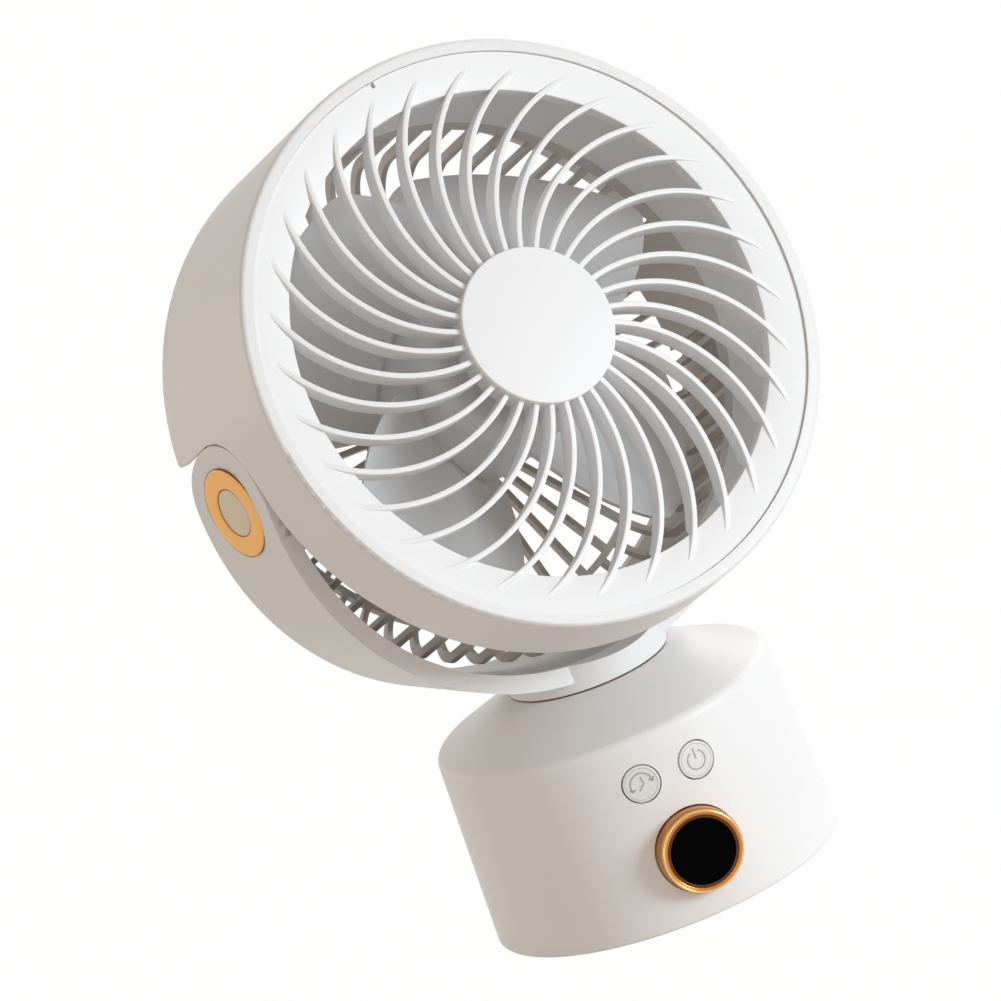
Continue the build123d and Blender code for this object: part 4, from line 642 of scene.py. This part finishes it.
# Curved shells of the fan, shaded smooth: node, body, slot and the axes its round walls lie about
CURVED_SHELLS = (
    ("base_shell", "base", "base_plastic", (BASE,)),
    ("yoke_shell", "yoke", "yoke_plastic", (YOKE, BASE, LEFT_PIVOT)),
    ("head_shell", "head", "shell_plastic", (HEAD, LEFT_PIVOT)),
    ("rear_grille", "head", "rear_plastic", (HEAD,)),
    ("impeller", "rotor", "blade_plastic", (HEAD,)),
    ("swing_button", "swing_key", "button_plastic", (LEFT_BUTTON,)),
    ("power_button", "power_key", "button_plastic", (RIGHT_BUTTON,)),
    ("badge_ring_left", "yoke", "badge_orange", (LEFT_PIVOT,)),
    ("badge_ring_right", "yoke", "badge_orange", (LEFT_PIVOT,)),
    ("pivot_cap_left", "yoke", "cap_plastic", (LEFT_PIVOT,)),
    ("pivot_cap_right", "yoke", "cap_plastic", (LEFT_PIVOT,)),
    ("bottom_cover", "base", "cover_plastic", (BASE,)),
    ("foot_pad", "base", "dark_rubber", (BASE,)),
)
for node, body, slot, round_about in CURVED_SHELLS:
    joined_copy(node, body, slot, round_about)
# The yoke's inner wall takes a darker grey of painted shade
joined_copy("yoke_cover", "yoke", "yoke_plastic", (YOKE,), INNER_WALL_PAINTED_SHADE)

# Fine lines of painted shadow round each pivot's ring and cap, where the gaps between them lie in shade
for side, out in (("left", -ACROSS), ("right", ACROSS)):
    pivot = frame_at(PIVOT, out.cross(WORLD_UP), out)
    for line, (inner, outer) in PIVOT_SHADOW_LINES.items():
        outline = [(inner, PIVOT_LINE_BACK), (outer, PIVOT_LINE_BACK),
                   (outer, PIVOT_LINE_FACE), (inner, PIVOT_LINE_FACE)]
        new_piece("pivot_shadow_line_" + side + "_" + line, lathe(outline, pivot), "yoke", "badge_orange",
                  material=PAINTED_SHADOW_LINE)

# Front grille: fins that fade out over the face ring, the ring with its skirt, the hub ring and its cap
fins = grown(spiral_fins_tree(), HEAD, Root=polar(*FIN_ROOT), Middle=polar(*FIN_MIDDLE),
             Tip=polar(*FIN_TIP), Material=MATERIALS["grille_plastic"])
new_piece("spiral_fins", fins, "head", "grille_plastic", "front_grille", sharp=FIN_SHARP_ANGLE)
face_ring = lathe(rounded(
    [(FACE_RING_R, GRILLE_BACK), (FACE_RING_R, FACE_RING_FRONT), (FACE_RIM_R, FACE_RIM_FRONT),
     (FACE_RIM_R, FACE_RIM_BACK), (SKIRT_R, FACE_RIM_BACK), (SKIRT_R, GRILLE_BACK)],
    [0.2, 0.45, 0.35, 0.0, 0.3, 0.2]), HEAD, FACE_RING_TURNS)
new_piece("face_ring", face_ring, "head", "grille_plastic", "front_grille")
hub_ring = lathe(rounded(
    [(HUB_RING_IN_R, HUB_RING_BACK), (HUB_RING_R, HUB_RING_BACK), (HUB_RING_R, HUB_RING_FRONT),
     (HUB_RING_IN_R, HUB_RING_FRONT)], [0.3, 0.3, 0.2, 0.0]), HEAD, HUB_RING_TURNS)
new_piece("hub_ring", hub_ring, "head", "grille_plastic", "front_grille")
hub_cap = lathe(rounded(
    [(0.0, HUB_CAP_MIDDLE), (HUB_CAP_R, HUB_CAP_EDGE), (HUB_CAP_R, HUB_CAP_STEP),
     (HUB_CAP_STEM_R, HUB_CAP_STEP), (HUB_CAP_STEM_R, HUB_CAP_BACK), (0.0, HUB_CAP_BACK)],
    [0.0, 0.5, 0.2, 0.0, 0.3, 0.0]), HEAD, DISC_TURNS)
new_piece("hub_cap", hub_cap, "head", "grille_plastic", "grille_hub_cap")

# Knob: copper side, a rim in a brighter copy of the copper as painted highlight, then a copper bevel and a brown
# bevel of painted shade that fall to the lens
KNOB_PIECES = (
    ("knob_side", MATERIALS["knob_copper"],
     [(KNOB_BORE_R, KNOB_BACK), (KNOB_FLANGE_R, KNOB_BACK), (KNOB_FLANGE_R, KNOB_FLANGE_FRONT),
      (KNOB_R, KNOB_FLANGE_FRONT), (KNOB_R, KNOB_FRONT), (12.8, 58.5), (11.6, 58.2), (KNOB_BORE_R, 57.0)],
     [0.0, 0.2, 0.2, 0.3, 0.5, 0.2, 0.0, 0.0]),
    ("knob_rim", RIM_PAINTED_HIGHLIGHT,
     [(KNOB_RIM_R, KNOB_RIM_BACK), (12.8, 58.9), (12.45, KNOB_RIM_FRONT), (KNOB_RIM_IN_R, 59.1),
      (KNOB_RIM_IN_R, KNOB_RIM_BACK)], [0.2, 0.25, 0.2, 0.1, 0.0]),
    ("knob_bevel", MATERIALS["knob_copper"],
     [(BEVEL_R, BEVEL_BACK), (BEVEL_R, 59.08), (BEVEL_STEP_R, 58.86), (BEVEL_STEP_R, BEVEL_BACK)],
     [0.0, 0.05, 0.05, 0.0]),
    ("knob_inner_bevel", BEVEL_PAINTED_SHADE,
     [(BEVEL_STEP_R, BEVEL_BACK), (BEVEL_STEP_R, 58.87), (BEVEL_IN_R, 58.72), (BEVEL_IN_R, BEVEL_BACK)],
     [0.0, 0.05, 0.02, 0.0]),
)
for name, material, outline, corners in KNOB_PIECES:
    ring = lathe(rounded(outline, corners), KNOB, DISC_TURNS)
    new_piece(name, ring, "knob", "knob_copper", "knob_ring", material=material)

# Pale seat round the knob, and the washer under the neck in a dark brown of painted shade, which shows as a shadow
# line
seat = lathe([(SEAT_IN_R, SEAT_BACK), (SEAT_R, SEAT_BACK), (SEAT_R, SEAT_FRONT), (SEAT_IN_R, SEAT_FRONT)],
             KNOB, DISC_TURNS)
new_piece("knob_seat", seat, "base", "base_plastic")
washer = lathe([(WASHER_BORE_R, WASHER_FOOT), (WASHER_R, WASHER_FOOT), (WASHER_R, WASHER_TOP),
                (WASHER_BORE_R, WASHER_TOP)], BASE)
new_piece("swing_washer_edge", washer, "base", "acetal", "swing_washer", material=GAP_PAINTED_SHADE)

# Latch at the top of the face ring
latch_at = HEAD @ Matrix.Translation(Vector(polar(LATCH_R, LATCH_ANGLE)) * MM)
latch_at = latch_at @ Matrix.Translation((0, 0, LATCH_FACE * MM))
# The notch is a thin grey stroke whose colour is painted shade in place of its hollow
notch = strokes([[(0.0, -1.3), (0.0, 0.5)]], NOTCH_WIDTH, NOTCH_HEIGHT, latch_at)
new_piece("latch_notch", notch, "head", "grille_plastic", material=NOTCH_PAINTED_SHADE)
tab = strokes([[(-0.9, 0.2), (-0.9, 3.0)]], TAB_WIDTH, TAB_HEIGHT, latch_at)
new_piece("latch_tab", tab, "head", "grille_plastic")

# Signs and grooves on the two buttons: the signs in grey, the grooves as grey strokes of painted shade
POWER_SIGN = [arc(2.95, 119, 421), [(0, 0.3), (0, 3.9)]]
SWING_SIGN = [arc(3.5, 205, -2), [(2.5, 0.9), (3.5, -0.1), (4.2, 1.1)],
              [(-4.1, -0.6), (-3.2, -1.5), (-2.3, -0.9)], [(0.3, 2.3), (0.7, 0.0), (-1.2, -1.8)]]
for node, body, press, sign in (("power_button", "power_key", "power_press", POWER_SIGN),
                                ("swing_button", "swing_key", "swing_press", SWING_SIGN)):
    out = button_frame(press).to_3x3().col[2]
    face = button_frame(press, face_reach(node, out) - SIGN_SINK * MM)
    groove = strokes([arc(GROOVE_R, 0, 360, 64)], GROOVE_WIDTH, GROOVE_HEIGHT, face)
    new_piece(body + "_sign", strokes(sign, SIGN_WIDTH, SIGN_HEIGHT, face), body, "button_plastic",
              material=SIGN_GREY_AND_GROOVE_SHADE)
    # The groove's grey stands in for the shade of a groove
    new_piece(body + "_groove", groove, body, "button_plastic", material=SIGN_GREY_AND_GROOVE_SHADE)


# Camera
back = Vector((math.sin(AZIMUTH) * math.cos(ELEVATION), -math.cos(AZIMUTH) * math.cos(ELEVATION),
               math.sin(ELEVATION)))
right = Vector((math.cos(AZIMUTH), math.sin(AZIMUTH), 0))
up = back.cross(right)
aim = right * AIM_ACROSS + WORLD_UP * AIM_HEIGHT
view_right = right * math.cos(ROLL) - up * math.sin(ROLL)
view_up = right * math.sin(ROLL) + up * math.cos(ROLL)
lens = bpy.data.cameras.new("camera")
lens.sensor_width = SENSOR
lens.lens = FOCAL_PIXELS / PICTURE_PIXELS * SENSOR
lens.clip_end = FAR_CLIP
camera = bpy.data.objects.new("camera", lens)
bpy.context.scene.collection.objects.link(camera)
camera.matrix_world = Matrix.Translation(aim + back * DISTANCE) @ Matrix(
    (view_right, view_up, back)).transposed().to_4x4()
bpy.context.scene.camera = camera


# Studio: white floor, big soft key from the right, weak warm fill from the left


def area_light(name, place, size, energy, colour):
    """Round lamp at a place, turned to the fan."""
    lamp = bpy.data.lights.new(name, "AREA")
    lamp.shape = "DISK"
    lamp.size = size
    lamp.energy = energy
    lamp.color = colour
    holder = bpy.data.objects.new(name, lamp)
    bpy.context.scene.collection.objects.link(holder)
    holder.location = place
    holder.rotation_euler = (LAMP_AIM - Vector(place)).to_track_quat("-Z", "Y").to_euler()


def ray_share(tree, *kinds):
    """One for rays of the named kinds, zero for all others."""
    path = add_node(tree, "ShaderNodeLightPath").outputs
    share = path[kinds[0]]
    for kind in kinds[1:]:
        share = math_node(tree, "MAXIMUM", share, path[kind])
    return share


for lamp in LAMPS:
    area_light(*lamp)

bpy.ops.mesh.primitive_plane_add(size=FLOOR_SIZE)
floor = bpy.context.object
floor.name = "floor"
material = bpy.data.materials.new("floor_white")
material.use_nodes = True
tree = material.node_tree
tree.nodes.remove(tree.nodes["Principled BSDF"])
matte = add_node(tree, "ShaderNodeBsdfDiffuse", {"Color": FLOOR_TONE})
white = add_node(tree, "ShaderNodeEmission", {"Color": WHITE, "Strength": FLOOR_GLOW})
seen = ray_share(tree, "Is Camera Ray", "Is Glossy Ray")
share = math_node(tree, "MULTIPLY", seen, FLOOR_WHITE_SHARE)
mix = add_node(tree, "ShaderNodeMixShader", {0: share, 1: matte.outputs[0], 2: white.outputs[0]})
tree.links.new(mix.outputs[0], tree.nodes["Material Output"].inputs["Surface"])
floor.data.materials.append(material)

world = bpy.data.worlds.new("studio")
bpy.context.scene.world = world
world.use_nodes = True
tree = world.node_tree
ambient = tree.nodes["Background"]
ambient.inputs["Color"].default_value = AMBIENT
ambient.inputs["Strength"].default_value = AMBIENT_STRENGTH
backdrop = add_node(tree, "ShaderNodeBackground", {"Color": WHITE, "Strength": 1.0})
seen = ray_share(tree, "Is Camera Ray", "Is Glossy Ray", "Is Transmission Ray")
mix = add_node(tree, "ShaderNodeMixShader", {0: seen, 1: ambient.outputs[0], 2: backdrop.outputs[0]})
tree.links.new(mix.outputs[0], tree.nodes["World Output"].inputs["Surface"])

bpy.context.scene.view_settings.view_transform = "Standard"
